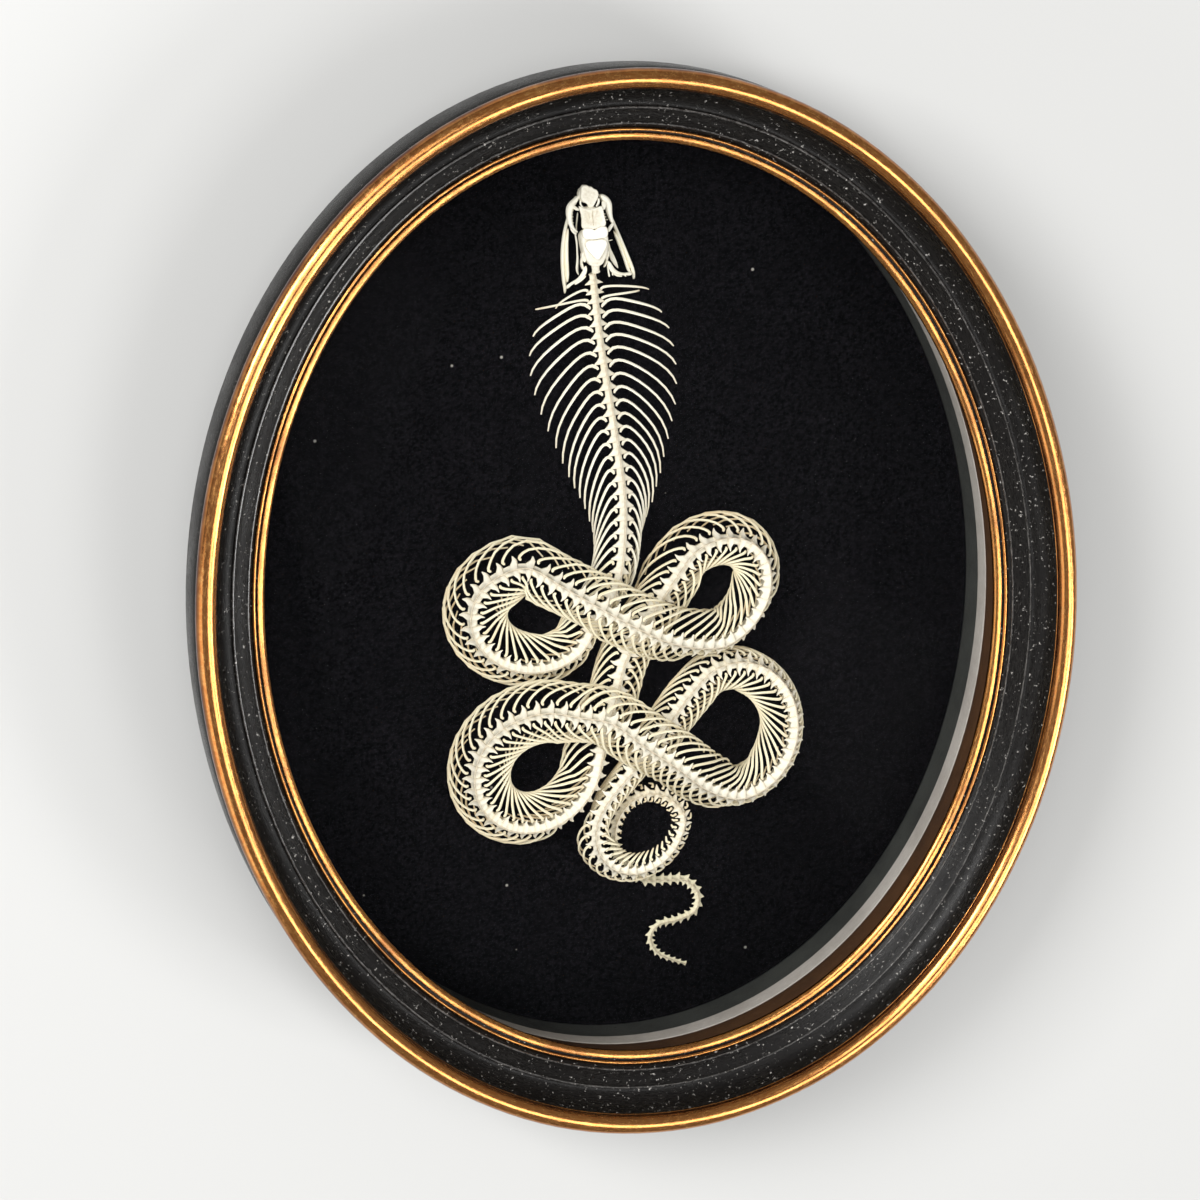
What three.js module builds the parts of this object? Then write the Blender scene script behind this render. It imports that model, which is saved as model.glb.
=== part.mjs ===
// A snake skeleton laid out in loops inside an oval, glazed shadow box.
// Units are millimetres, +Z is up, and the box lies flat on its back.
// The origin is at the centre of the outer frame, on the floor.
import * as THREE from 'three';

// Driving dimensions.

// Oval frame. Each section point is [distance outside the sight edge, height].
const SIGHT_WIDTH = 203.2;
const SIGHT_LENGTH = 254;
const FRAME_FACETS = 40;
const MOULDING_SECTION = [
  [3.7, 31], [20, 31], [20.1, 41.9], [15.6, 41.9], [14.5, 43.1], [12.4, 40],
  [9.6, 38.3], [8.8, 38.8], [3.7, 35.7],
];
const BEAD_RADIUS = 2.7;
const BEAD_CENTRE = [17.4, 44.9];
const BEAD_SIDES = 7;
const LIP_SECTION = [[0, 33.4], [3.4, 33.4], [3.4, 36], [2.4, 35.4], [1.1, 35.6], [0, 34.9]];
const GLASS = { margin: 3.2, bottom: 31.1, thickness: 2 };
const WALL_SECTION = [[4.5, 3.3], [8, 3.3], [8, 30.7], [2.2, 30.7], [2.2, 28.9], [4.5, 28.9]];
const BACK = { margin: 8, bottom: 0, thickness: 3 };
const VELVET = { margin: 4.1, bottom: 3.3, thickness: 0.7 };
const VELVET_TOP = VELVET.bottom + VELVET.thickness;

// Course of the backbone in plan, from the skull to the tip of the tail.
// A stretch is a few points, or an oval bend with its centre, radii, lean and end angles in degrees.
const COURSE = [
  { points: [[5.8, 87.3], [5.4, 69], [5.7, 46.8], [5.3, 24.6], [1.7, 6.3], [-2.4, -2.6]] },
  { centre: [-24.5, -1.7], radii: [18.1, 15.9], lean: -22, from: -2, to: -245, steps: 9 },
  { points: [[-18.3, 8.5], [-9.4, 1], [0, -6.8], [9.7, -14]] },
  { centre: [28.8, -5.9], radii: [15.9, 13.7], lean: 44, from: -164, to: 107, steps: 8 },
  { points: [[11, -5.5], [4.6, -12.5], [-1, -20.3], [-4.6, -29.4], [-8, -37.4], [-11, -45.6]] },
  { centre: [-29.4, -44.6], radii: [19.2, 17.6], lean: 41, from: -73, to: -343, steps: 10 },
  { points: [[-10.2, -32.2], [-2.2, -40.6], [6.4, -49.4], [15.4, -59.5]] },
  { centre: [29, -46.6], radii: [17.1, 19.6], lean: -3, from: -100, to: 138, steps: 8 },
  { points: [[10.4, -39.3], [3.6, -46.5], [-3.6, -52.6]] },
  { centre: [-2.4, -69], radii: [13, 14.2], lean: -42, from: 175, to: 396, steps: 7 },
  { centre: [1.3, -73.2], radii: [11.9, 9.9], lean: 81, from: -28, to: 146, steps: 5 },
  { points: [[-1.5, -87.7], [4.6, -89.3]] },
  { centre: [6.1, -95.4], radii: [8, 6.2], lean: -32, from: 82, to: -58, steps: 3 },
  { centre: [6.1, -108.6], radii: [8.7, 5.9], lean: -30, from: 152, to: 280, steps: 3 },
  { points: [[11.3, -118]] },
];

// Profiles along the body: [distance from the skull, value].
const RIDGE_HEIGHT = [
  [0, 7.5], [29, 8], [55, 9.6], [80, 11.3], [131, 11.3], [150, 11.8], [158, 12.8], [166, 16.2],
  [176, 21.5], [186, 24.3], [208, 24.4], [218, 22.5], [228, 18.3], [239, 13.8], [250, 12],
  [300, 11.3], [405, 11.6], [420, 12.6], [430, 16], [440, 20.4], [450, 23.6], [458, 24.4],
  [476, 24.4], [486, 22.8], [496, 19], [506, 14.6], [516, 12.8], [545, 12.3], [570, 11.5],
  [610, 11.2], [634, 10.6], [650, 9.9], [672, 8.6], [684, 7.2], [694, 5.2], [702, 3.5],
  [712, 2.7], [778, 1.6],
];
const ROLL = [
  [0, 0], [80, 2], [92, 9], [106, 22], [114, 25], [155, 25], [165, 20], [175, 10], [192, 0],
  [216, -12], [239, -28], [250, -30], [266, -30], [282, -24], [292, -15], [306, -5], [325, 0],
  [343, 5], [360, 18], [368, 25], [410, 26], [425, 23], [438, 13], [456, 0], [480, -14],
  [494, -24], [505, -33], [548, -34], [560, -30], [571, -18], [580, -10], [600, -4], [619, -6],
  [634, -14], [650, -16], [671, -10], [704, 0], [778, 0],
];
const VERTEBRA_PITCH = [
  [0, 2.35], [2.35, 2.7], [5.1, 2.5], [7.6, 3], [10.6, 3.25], [17, 3.45], [24, 3.6], [110, 3.75],
  [300, 3.7], [380, 3.45], [560, 3.35], [640, 2.8], [700, 2.5], [740, 2.3], [778, 1.8],
];
const BONE_SCALE = [[0, 0.85], [14, 1], [570, 1], [630, 0.85], [700, 0.68], [745, 0.5], [778, 0.25]];
const CAGE_HALF_WIDTH = [
  [0, 13], [4, 14.6], [8, 18.2], [11, 20], [15, 20.8], [18, 20.4], [21, 19.7], [25, 18.5], [28, 17],
  [32, 15.3], [36, 13.6], [43, 11.1], [47, 9.7], [51, 8.3], [55, 7.3], [62, 6.3], [72, 6.3],
  [84, 7.1], [95, 7.8], [112, 8.6], [150, 8.8], [175, 8.3], [400, 8.6], [560, 8], [610, 7],
  [632, 5.4], [645, 4.5], [656, 4], [666, 3.5], [676, 3.1], [698, 2.6], [778, 1],
];
const CAGE_DEPTH = [
  [0, 1.5], [8, 1.2], [28, 1], [32, 3.8], [36, 6.4], [43, 7], [60, 8], [75, 9], [90, 9.5],
  [560, 9.5], [610, 8.4], [635, 5.8], [655, 4], [672, 3], [778, 1],
];
const RIB_ARC = [
  [0, 78], [28, 82], [36, 90], [43, 100], [60, 118], [80, 134], [95, 142], [560, 142],
  [610, 134], [635, 118], [654, 98], [664, 72], [778, 60],
];
// How far along the body the tip of a rib lies behind its root, and how far the rib first runs forward.
const RIB_SWEEP = [
  [0, 4.5], [8, 5.4], [11, 7], [15, 9.5], [18, 11.4], [21, 13], [25, 14.8], [32, 16.9], [36, 18],
  [60, 18.5], [100, 22], [400, 22], [560, 19], [610, 14], [632, 8.5], [648, 5.5], [660, 2.6],
  [670, 1], [778, 0],
];
const SWEEP_POWER = 1.25;
const RIB_RISE = [[0, 1.2], [40, 1.2], [60, 0.6], [80, 0], [778, 0]];
const RISE_SHARE = 0.15;
// Ribs on the inside of a bend reach further back than those on the outside.
const BEND_REACH = 0.25;
const BEND_SPAN = 6;
// Where two stretches lie side by side the facing ribs hang steeper: from, to, side, narrowing.
const PINCHES = [
  { from: 78, to: 104, side: 1, by: 2.8 },
  { from: 292, to: 330, side: -1, by: 2.8 },
  { from: 220, to: 252, side: -1, by: 3.2 },
  { from: 340, to: 376, side: 1, by: 5 },
  { from: 552, to: 598, side: -1, by: 2.8 },
  { from: 597, to: 628, side: -1, by: 4.6 },
  { from: 598, to: 632, side: 1, by: 2.2 },
  { from: 242, to: 290, side: 1, by: 2.2 },
  { from: 150, to: 188, side: -1, by: 1.4 },
  { from: 520, to: 560, side: 1, by: 0.8 },
  { from: 84, to: 104, side: -1, by: 1.2 },
  { from: 436, to: 452, side: -1, by: 0.8 },
  { from: 490, to: 506, side: 1, by: 2 },
  { from: 556, to: 574, side: 1, by: 1 },
];
const PINCH_BLEND = 8;

// Lengths of the body, each split along the backbone into its left and right side.
const BODY_LENGTHS = [
  ['neck_hood', 0, 78], ['upper_left_bend', 78, 172], ['upper_crossing', 172, 232],
  ['upper_right_bend', 232, 298], ['middle', 298, 348], ['lower_left_bend', 348, 440],
  ['lower_crossing', 440, 500], ['lower_right_bend', 500, 580], ['lower_return', 580, 636],
  ['ring', 636, 706],
];
const TAIL_LENGTHS = [['tail_base', 706, 742], ['tail_tip', 742, 777]];
const FIRST_RIB = 2;
const LAST_LONG_RIB = 655;
const CUT = 0.15;
const SHORTEST_VERTEBRA = 1.2;
const SHORTEST_RIBBED = 1.5;

// Half section of a vertebra measured from its ridge: [sideways, up].
const PLATE_EDGE = [2.5, -1.2];
const CENTRUM_FOOT = [CUT, -3.3];
const RIB_RADIUS = 0.38;
const RIB_CORNERS = [[-0.87, 0.5], [0.87, 0.5], [0, -1]];
const RIB_ROOT = [2.4, -1.4];
const RIB_OFFSET = 0.8;
const RIB_RINGS = [0.13, 0.56];
const WIDEST_ROOT = 0.9;
const TAIL_SHAPE = { width: 0.62, depth: 2.2, spur: 1.5, spurAt: 0.35 };

// Skull: sizes in its own frame, Y towards the snout, from the neck joint.
const SKULL_PLACE = { x: 5.8, y: 88.2, z: VELVET_TOP, turn: -4 };

// Small helpers.

function lookUp(table, s) {
  let i = 1;
  while (i < table.length - 1 && table[i][0] < s) i += 1;
  const [s0, v0] = table[i - 1];
  const [s1, v1] = table[i];
  const t = THREE.MathUtils.clamp((s - s0) / (s1 - s0), 0, 1);
  return v0 + (v1 - v0) * t;
}

// Rounds off the corners of a profile by averaging it over a short stretch.
function eased(table, s) {
  const offsets = [-8, -4, 0, 4, 8];
  return offsets.reduce((sum, d) => sum + lookUp(table, s + d), 0) / offsets.length;
}

function finish(name, geometry, look) {
  geometry.computeVertexNormals();
  const mesh = new THREE.Mesh(geometry, new THREE.MeshStandardMaterial(look));
  mesh.name = name;
  return mesh;
}

class Triangles {
  constructor() {
    this.list = [];
  }

  // Adds a face seen from outside, turned over when flip is set.
  face(a, b, c, flip = false) {
    const corners = flip ? [a, c, b] : [a, b, c];
    corners.forEach((p) => this.list.push(p.x, p.y, p.z));
  }

  quad(a, b, c, d, flip = false) {
    this.face(a, b, c, flip);
    this.face(a, c, d, flip);
  }

  geometry() {
    const geometry = new THREE.BufferGeometry();
    geometry.setAttribute('position', new THREE.Float32BufferAttribute(this.list, 3));
    return geometry;
  }
}

// Closed solid through rings of equal count, each ring anticlockwise seen from the end.
function loft(rings) {
  const out = new Triangles();
  for (let r = 0; r < rings.length - 1; r += 1) {
    const near = rings[r];
    const far = rings[r + 1];
    for (let k = 0; k < near.length; k += 1) {
      const n = (k + 1) % near.length;
      out.quad(near[k], near[n], far[n], far[k]);
    }
  }
  const first = rings[0];
  const last = rings[rings.length - 1];
  for (let k = 1; k < first.length - 1; k += 1) {
    out.face(first[0], first[k + 1], first[k]);
    out.face(last[0], last[k], last[k + 1]);
  }
  return out.geometry();
}

// Frame.

// Point on the oval that runs a fixed distance outside the sight edge.
function ovalPoint(angle, margin) {
  const a = SIGHT_WIDTH / 2;
  const b = SIGHT_LENGTH / 2;
  const normal = new THREE.Vector2(Math.cos(angle) * b, Math.sin(angle) * a).normalize();
  return new THREE.Vector2(a * Math.cos(angle), b * Math.sin(angle)).addScaledVector(normal, margin);
}

// Turns a section round the oval: a lathed ring whose points are moved out to the oval.
function ovalRing(section) {
  const profile = [section[0], ...section.toReversed()].map(
    ([margin, z]) => new THREE.Vector2(1 + margin, z),
  );
  const geometry = new THREE.LatheGeometry(profile, FRAME_FACETS);
  const position = geometry.attributes.position;
  for (let i = 0; i < position.count; i += 1) {
    const x = position.getX(i);
    const z = position.getZ(i);
    const place = ovalPoint(Math.atan2(z, x), Math.hypot(x, z) - 1);
    position.setXYZ(i, place.x, place.y, position.getY(i));
  }
  return geometry;
}

function ovalSheet({ margin, bottom, thickness }) {
  const corners = [];
  for (let i = 0; i < FRAME_FACETS; i += 1) {
    corners.push(ovalPoint((i / FRAME_FACETS) * 2 * Math.PI, margin));
  }
  const shape = new THREE.Shape(corners);
  const sheet = new THREE.ExtrudeGeometry(shape, { depth: thickness, bevelEnabled: false });
  return sheet.translate(0, 0, bottom);
}

function beadSection() {
  const section = [];
  for (let i = 0; i < BEAD_SIDES; i += 1) {
    const angle = (i / BEAD_SIDES) * 2 * Math.PI + Math.PI / 2;
    section.push([
      BEAD_CENTRE[0] + BEAD_RADIUS * Math.cos(angle),
      BEAD_CENTRE[1] + BEAD_RADIUS * Math.sin(angle),
    ]);
  }
  return section;
}

function makeFrame() {
  const frame = new THREE.Group();
  const black = { color: 0x17140f, roughness: 0.35, metalness: 0 };
  const gilt = { color: 0xb77a3a, roughness: 0.35, metalness: 0.9 };
  frame.add(finish('frame_moulding', ovalRing(MOULDING_SECTION), black));
  frame.add(finish('frame_outer_bead', ovalRing(beadSection()), gilt));
  frame.add(finish('frame_inner_lip', ovalRing(LIP_SECTION), gilt));
  frame.add(finish('box_wall', ovalRing(WALL_SECTION), { color: 0x2b2c29, roughness: 0.3, metalness: 0 }));
  frame.add(finish('box_back', ovalSheet(BACK), { color: 0x1a1815, roughness: 0.7, metalness: 0 }));
  frame.add(finish('velvet_pad', ovalSheet(VELVET), { color: 0x0b0a0c, roughness: 1, metalness: 0 }));
  const clear = { color: 0xffffff, roughness: 0.02, metalness: 0, transparent: true, opacity: 0.15 };
  frame.add(finish('glass', ovalSheet(GLASS), clear));
  return frame;
}

// Backbone course.

function bendPoints({ centre, radii, lean, from, to, steps }) {
  const turn = THREE.MathUtils.degToRad(lean);
  const points = [];
  for (let i = 0; i <= steps; i += 1) {
    const angle = THREE.MathUtils.degToRad(from + ((to - from) * i) / steps);
    const spot = new THREE.Vector2(radii[0] * Math.cos(angle), radii[1] * Math.sin(angle));
    spot.rotateAround(new THREE.Vector2(), turn);
    points.push([centre[0] + spot.x, centre[1] + spot.y]);
  }
  return points;
}

const planPoints = COURSE.flatMap((stretch) => stretch.points ?? bendPoints(stretch));
const planCurve = new THREE.CatmullRomCurve3(
  planPoints.map(([x, y]) => new THREE.Vector3(x, y, 0)),
  false,
  'catmullrom',
  0.5,
);
const CURVE_SAMPLES = 1600;
planCurve.arcLengthDivisions = CURVE_SAMPLES;
const BODY_LENGTH = planCurve.getLength();

// Point on the ridge of the backbone at a distance from the skull.
function ridgePoint(s) {
  const spot = planCurve.getPointAt(THREE.MathUtils.clamp(s / BODY_LENGTH, 0, 1));
  spot.z = VELVET_TOP + eased(RIDGE_HEIGHT, s);
  return spot;
}

// Ridge point with the directions along the body, up out of its back and to its left.
function bodyFrame(s) {
  const step = 0.5;
  const here = THREE.MathUtils.clamp(s, step, BODY_LENGTH - step);
  const along = ridgePoint(here + step).sub(ridgePoint(here - step)).normalize();
  const upright = new THREE.Vector3(0, 0, 1).addScaledVector(along, -along.z).normalize();
  const roll = THREE.MathUtils.degToRad(eased(ROLL, here));
  const up = upright.applyAxisAngle(along, -roll);
  const left = new THREE.Vector3().crossVectors(up, along);
  return { origin: ridgePoint(s), along, up, left };
}

function place(frame, sideways, up) {
  return frame.origin.clone().addScaledVector(frame.left, sideways).addScaledVector(frame.up, up);
}

// Ribs.

function pinchAt(s, side) {
  return PINCHES.filter((p) => p.side === side).reduce((sum, { from, to, by }) => {
    const rise = THREE.MathUtils.smoothstep(s, from - PINCH_BLEND / 2, from + PINCH_BLEND / 2);
    const fall = THREE.MathUtils.smoothstep(s, to - PINCH_BLEND / 2, to + PINCH_BLEND / 2);
    return sum + by * (rise - fall);
  }, 0);
}

// How sharply the body bends in plan at s, positive towards its left.
function bendAt(s) {
  const before = bodyFrame(s - BEND_SPAN).along;
  const after = bodyFrame(s + BEND_SPAN).along;
  return (before.x * after.y - before.y * after.x) / (2 * BEND_SPAN);
}

// Distance along the body from the root of a rib to its point q.
function sweepAt(s, side, q) {
  const halfWidth = lookUp(CAGE_HALF_WIDTH, s);
  const bend = 1 + BEND_REACH * bendAt(s) * halfWidth * side;
  const rise = lookUp(RIB_RISE, s) * (q / RISE_SHARE) * Math.exp(1 - q / RISE_SHARE);
  return bend * lookUp(RIB_SWEEP, s) * Math.max(0, q) ** SWEEP_POWER - rise;
}

// Centre of a rib at q, 0 at the backbone and 1 at the tip, with its outward direction.
function ribSpot(s, side, q) {
  const halfWidth = lookUp(CAGE_HALF_WIDTH, s) - pinchAt(s, side);
  const depth = lookUp(CAGE_DEPTH, s);
  const start = Math.asin(Math.min(WIDEST_ROOT, RIB_ROOT[0] / halfWidth));
  const end = THREE.MathUtils.degToRad(lookUp(RIB_ARC, s));
  const angle = start + (end - start) * q;
  const frame = bodyFrame(s + sweepAt(s, side, q));
  const sideways = side * halfWidth * Math.sin(angle);
  const spot = place(frame, sideways, RIB_ROOT[1] - (depth / 2) * (1 - Math.cos(angle)));
  const outward = frame.left.clone().multiplyScalar(side * Math.sin(angle));
  outward.addScaledVector(frame.up, Math.cos(angle)).normalize();
  return { spot, outward };
}

// Triangular section of a rib, its corners in the order head end, tail end, underside.
function ribRing(s, side, q, radius) {
  const { spot, outward } = ribSpot(s, side, q);
  const step = 0.04;
  const ahead = ribSpot(s, side, q + step).spot.sub(ribSpot(s, side, q - step).spot).normalize();
  const across = new THREE.Vector3().crossVectors(ahead, outward).normalize().multiplyScalar(side);
  const lift = new THREE.Vector3().crossVectors(across, ahead).normalize().multiplyScalar(side);
  return RIB_CORNERS.map(([a, b]) => {
    const corner = spot.clone().addScaledVector(across, a * radius);
    return corner.addScaledVector(lift, b * radius);
  });
}

// Grows a rib out of a face of the backbone, so that both are one solid.
function growRib(out, face, s, side) {
  const shares = s < LAST_LONG_RIB ? RIB_RINGS : [];
  const flip = side < 0;
  let from = face;
  shares.forEach((share) => {
    const to = ribRing(s, side, share, RIB_RADIUS);
    from.forEach((corner, k) => {
      const n = (k + 1) % from.length;
      out.quad(corner, from[n], to[n], to[k], flip);
    });
    from = to;
  });
  const tip = ribSpot(s, side, 1).spot;
  from.forEach((corner, k) => out.face(corner, from[(k + 1) % from.length], tip, flip));
}

// Body lengths.

function vertebraStations() {
  const stations = [];
  for (let s = 0; s < BODY_LENGTH; s += lookUp(VERTEBRA_PITCH, s)) {
    stations.push(s);
  }
  return stations;
}

const STATIONS = vertebraStations();

// The joint between two vertebrae that lies nearest to s.
function nearestJoint(s) {
  return STATIONS.reduce((best, joint) => (Math.abs(joint - s) < Math.abs(best - s) ? joint : best));
}

function cutsBetween(start, end) {
  const inside = STATIONS.filter((s) => s > start + SHORTEST_VERTEBRA && s < end - SHORTEST_VERTEBRA);
  return [start + CUT, ...inside, end - CUT];
}

// One side of a length of backbone with the ribs of that side.
function makeHalf(start, end, side) {
  const out = new Triangles();
  const flip = side < 0;
  const cuts = cutsBetween(start, end);
  const sections = cuts.map((s) => {
    const frame = bodyFrame(s);
    const k = eased(BONE_SCALE, s);
    return {
      ridge: place(frame, side * CUT, 0),
      edge: place(frame, side * PLATE_EDGE[0] * k, PLATE_EDGE[1] * k),
      foot: place(frame, side * CENTRUM_FOOT[0], CENTRUM_FOOT[1] * k),
    };
  });
  for (let i = 0; i < sections.length - 1; i += 1) {
    const a = sections[i];
    const b = sections[i + 1];
    out.quad(a.ridge, b.ridge, b.edge, a.edge, flip);
    out.quad(a.foot, b.foot, b.ridge, a.ridge, flip);
    out.face(b.edge, b.foot, a.foot, flip);
    if (cuts[i] >= FIRST_RIB && cuts[i + 1] - cuts[i] > SHORTEST_RIBBED) {
      growRib(out, [a.edge, b.edge, a.foot], cuts[i] + RIB_OFFSET, side);
    } else {
      out.face(a.edge, b.edge, a.foot, flip);
    }
  }
  const first = sections[0];
  const last = sections[sections.length - 1];
  out.face(first.ridge, first.edge, first.foot, flip);
  out.face(last.ridge, last.edge, last.foot, !flip);
  return out.geometry();
}

// A length of tail: no ribs, each vertebra widened by a pair of short spurs.
function makeTail(start, end) {
  const rings = [];
  const addRing = (s, spread) => {
    const frame = bodyFrame(s);
    const k = eased(BONE_SCALE, s);
    const half = PLATE_EDGE[0] * k * TAIL_SHAPE.width * spread;
    const depth = TAIL_SHAPE.depth * k;
    rings.push([
      place(frame, 0, 0),
      place(frame, -half, -depth / 2),
      place(frame, 0, -depth),
      place(frame, half, -depth / 2),
    ]);
  };
  const cuts = cutsBetween(start, end);
  cuts.forEach((s, i) => {
    addRing(s, 1);
    if (i < cuts.length - 1) {
      addRing(s + (cuts[i + 1] - s) * TAIL_SHAPE.spurAt, TAIL_SHAPE.spur);
    }
  });
  return loft(rings);
}

function makeBody() {
  const body = new THREE.Group();
  const bone = { color: 0xf0e4c6, roughness: 0.55, metalness: 0 };
  BODY_LENGTHS.forEach(([name, from, to]) => {
    const [start, end] = [nearestJoint(from), nearestJoint(to)];
    body.add(finish(`${name}_left`, makeHalf(start, end, 1), bone));
    body.add(finish(`${name}_right`, makeHalf(start, end, -1), bone));
  });
  TAIL_LENGTHS.forEach(([name, from, to]) => {
    body.add(finish(name, makeTail(nearestJoint(from), nearestJoint(to)), bone));
  });
  return body;
}

// Skull.

// Ring of a box-like bone seen along Y: half width at the top and foot, centre, foot and top heights.
function boneRing(y, top, foot, x, low, high) {
  const mid = (low + high) / 2;
  const wide = Math.max(top, foot);
  return [
    [x + top, high - 0.5], [x + top * 0.5, high], [x - top * 0.5, high], [x - top, high - 0.5],
    [x - wide, mid], [x - foot, low], [x + foot, low], [x + wide, mid],
  ].map(([px, pz]) => new THREE.Vector3(px, y, pz));
}

// Slender bone through stations [x, y, z, half width, half height], six-sided.
function slenderBone(stations) {
  const spots = stations.map(([x, y, z]) => new THREE.Vector3(x, y, z));
  const rings = stations.map(([, , , wide, high], i) => {
    const before = spots[Math.max(0, i - 1)];
    const after = spots[Math.min(spots.length - 1, i + 1)];
    const ahead = after.clone().sub(before).normalize();
    const side = new THREE.Vector3().crossVectors(ahead, new THREE.Vector3(0, 0, 1)).normalize();
    const up = new THREE.Vector3().crossVectors(side, ahead);
    const ring = [];
    for (let k = 0; k < 6; k += 1) {
      const angle = (k / 6) * 2 * Math.PI;
      ring.push(spots[i].clone()
        .addScaledVector(side, -wide * Math.cos(angle))
        .addScaledVector(up, high * Math.sin(angle)));
    }
    return ring;
  });
  return loft(rings);
}

function makeSkull() {
  const skull = new THREE.Group();
  const bone = { color: 0xf6efd9, roughness: 0.5, metalness: 0 };
  const add = (name, geometry) => skull.add(finish(name, geometry, bone));
  add('skull_braincase', loft([
    boneRing(12.2, 3.5, 2.2, 0.8, 4, 8), boneRing(10.6, 3.7, 2.6, 0.8, 3.6, 8.4),
    boneRing(6.5, 3.4, 3.2, 0.9, 3.2, 8.6), boneRing(3.6, 2.3, 3.4, 1, 3, 8),
    boneRing(1, 1.9, 2.4, 1, 3.2, 7.4), boneRing(-0.5, 1.7, 1.6, 1, 3.8, 7),
  ]));
  add('skull_frontals', loft([
    boneRing(18, 3, 1.8, 0.7, 4.6, 7.6), boneRing(15.4, 2.9, 1.6, 0.6, 4.2, 7.9),
    boneRing(12.5, 3, 1.8, 0.6, 4, 8),
  ]));
  add('skull_snout', loft([
    boneRing(23.4, 1.2, 0.8, 0.2, 4.6, 6), boneRing(21.6, 2.6, 1.8, 0.3, 4, 6.8),
    boneRing(18.3, 2, 1.6, 0.5, 4.2, 7.4),
  ]));
  const flank = (name, side, shift) => {
    const x = (u) => shift + side * u;
    add(`maxilla_${name}`, slenderBone([
      [x(2.9), 20.4, 4.8, 0.5, 0.8], [x(4.4), 18.4, 4.8, 0.9, 1], [x(5.3), 16, 4.8, 0.8, 1],
      [x(5.1), 13.4, 4.8, 0.6, 0.8], [x(4), 11.4, 5.4, 0.4, 0.6],
    ]));
    add(`pterygoid_${name}`, slenderBone([
      [x(3), 15.8, 2.8, 0.4, 0.4], [x(3.3), 9.6, 2.5, 0.4, 0.4], [x(3.8), 4.6, 2.2, 0.6, 0.3],
      [x(4.6), 0.4, 2, 0.3, 0.3],
    ]));
  };
  flank('left', -1, 0.4);
  flank('right', 1, 1.2);
  add('quadrate_left', slenderBone([
    [-2.8, 1.2, 6.2, 0.8, 0.5], [-4.4, -1.2, 5, 0.6, 0.6], [-6.4, -3, 3.7, 0.6, 0.7],
  ]));
  add('quadrate_right', slenderBone([
    [4.4, 1.4, 6.2, 0.8, 0.5], [7.6, -0.4, 5, 0.6, 0.6], [11.2, -1.6, 3.8, 0.6, 0.7],
  ]));
  add('mandible_left', slenderBone([
    [-2.6, 20, 1.6, 0.5, 0.7], [-5, 15.5, 1.4, 0.6, 0.8], [-6.6, 8, 1.4, 0.8, 0.9], [-7, 0.5, 1.6, 0.8, 1],
    [-6.9, -5.3, 1.8, 0.4, 0.6],
  ]));
  add('mandible_right', slenderBone([
    [4, 20, 1.6, 0.5, 0.7], [7.4, 14, 1.4, 0.6, 0.8], [9.5, 7, 1.4, 0.8, 0.9], [11.3, 0.5, 1.6, 0.8, 1],
    [12.5, -3.8, 1.8, 0.4, 0.6],
  ]));
  skull.position.set(SKULL_PLACE.x, SKULL_PLACE.y, SKULL_PLACE.z);
  skull.rotation.z = THREE.MathUtils.degToRad(SKULL_PLACE.turn);
  return skull;
}

const specimen = new THREE.Group();
specimen.name = 'framed_snake_skeleton';
specimen.add(makeFrame(), makeBody(), makeSkull());

export default specimen;
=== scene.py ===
# Framed snake skeleton: bones, velvet, glass and an oval black and gilt frame.
import math
import random

import bmesh
import bpy
import numpy as np
from mathutils import Matrix, Vector


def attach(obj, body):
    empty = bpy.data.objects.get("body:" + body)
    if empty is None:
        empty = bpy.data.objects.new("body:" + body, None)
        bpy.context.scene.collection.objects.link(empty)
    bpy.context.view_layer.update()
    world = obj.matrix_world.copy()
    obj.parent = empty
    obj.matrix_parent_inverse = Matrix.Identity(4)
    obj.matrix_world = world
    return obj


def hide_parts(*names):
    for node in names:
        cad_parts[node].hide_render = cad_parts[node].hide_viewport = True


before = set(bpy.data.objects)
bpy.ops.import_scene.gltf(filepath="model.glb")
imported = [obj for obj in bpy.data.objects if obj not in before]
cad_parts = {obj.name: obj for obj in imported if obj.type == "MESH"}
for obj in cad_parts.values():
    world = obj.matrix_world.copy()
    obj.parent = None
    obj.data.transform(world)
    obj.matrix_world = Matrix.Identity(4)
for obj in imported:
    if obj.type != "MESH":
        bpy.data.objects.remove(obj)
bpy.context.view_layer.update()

mm = 0.001
chance = random.Random(11)


def toMesh(name, bm):
    mesh = bpy.data.meshes.new(name)
    bm.to_mesh(mesh)
    bm.free()
    return mesh


def addObject(name, data):
    made = bpy.data.objects.new(name, data)
    bpy.context.scene.collection.objects.link(made)
    return made


# Turns a shape in mm into a piece of the scene that stands for the named parts.
def finishPiece(name, bm, material, nodes, sharp=38, subdivide=0):
    bmesh.ops.transform(bm, matrix=Matrix.Scale(mm, 4), verts=bm.verts)
    for face in bm.faces:
        face.smooth = True
    for edge in bm.edges:
        edge.smooth = edge.calc_face_angle(0) < math.radians(sharp)
    mesh = toMesh(name, bm)
    mesh.materials.append(material)
    piece = addObject(name, mesh)
    if subdivide:
        smoother = piece.modifiers.new("smoother", "SUBSURF")
        smoother.levels = subdivide
        smoother.render_levels = subdivide
    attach(piece, "root")
    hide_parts(*nodes)


def extrudeFaces(bm, faces):
    grown = bmesh.ops.extrude_face_region(bm, geom=faces)["geom"]
    return [v for v in grown if isinstance(v, bmesh.types.BMVert)]


def outwards(bm):
    bmesh.ops.remove_doubles(bm, verts=bm.verts, dist=1e-5)
    bmesh.ops.recalc_face_normals(bm, faces=bm.faces)


def lookUp(table, s):
    return np.interp(s, [row[0] for row in table], [row[1] for row in table])


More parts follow.
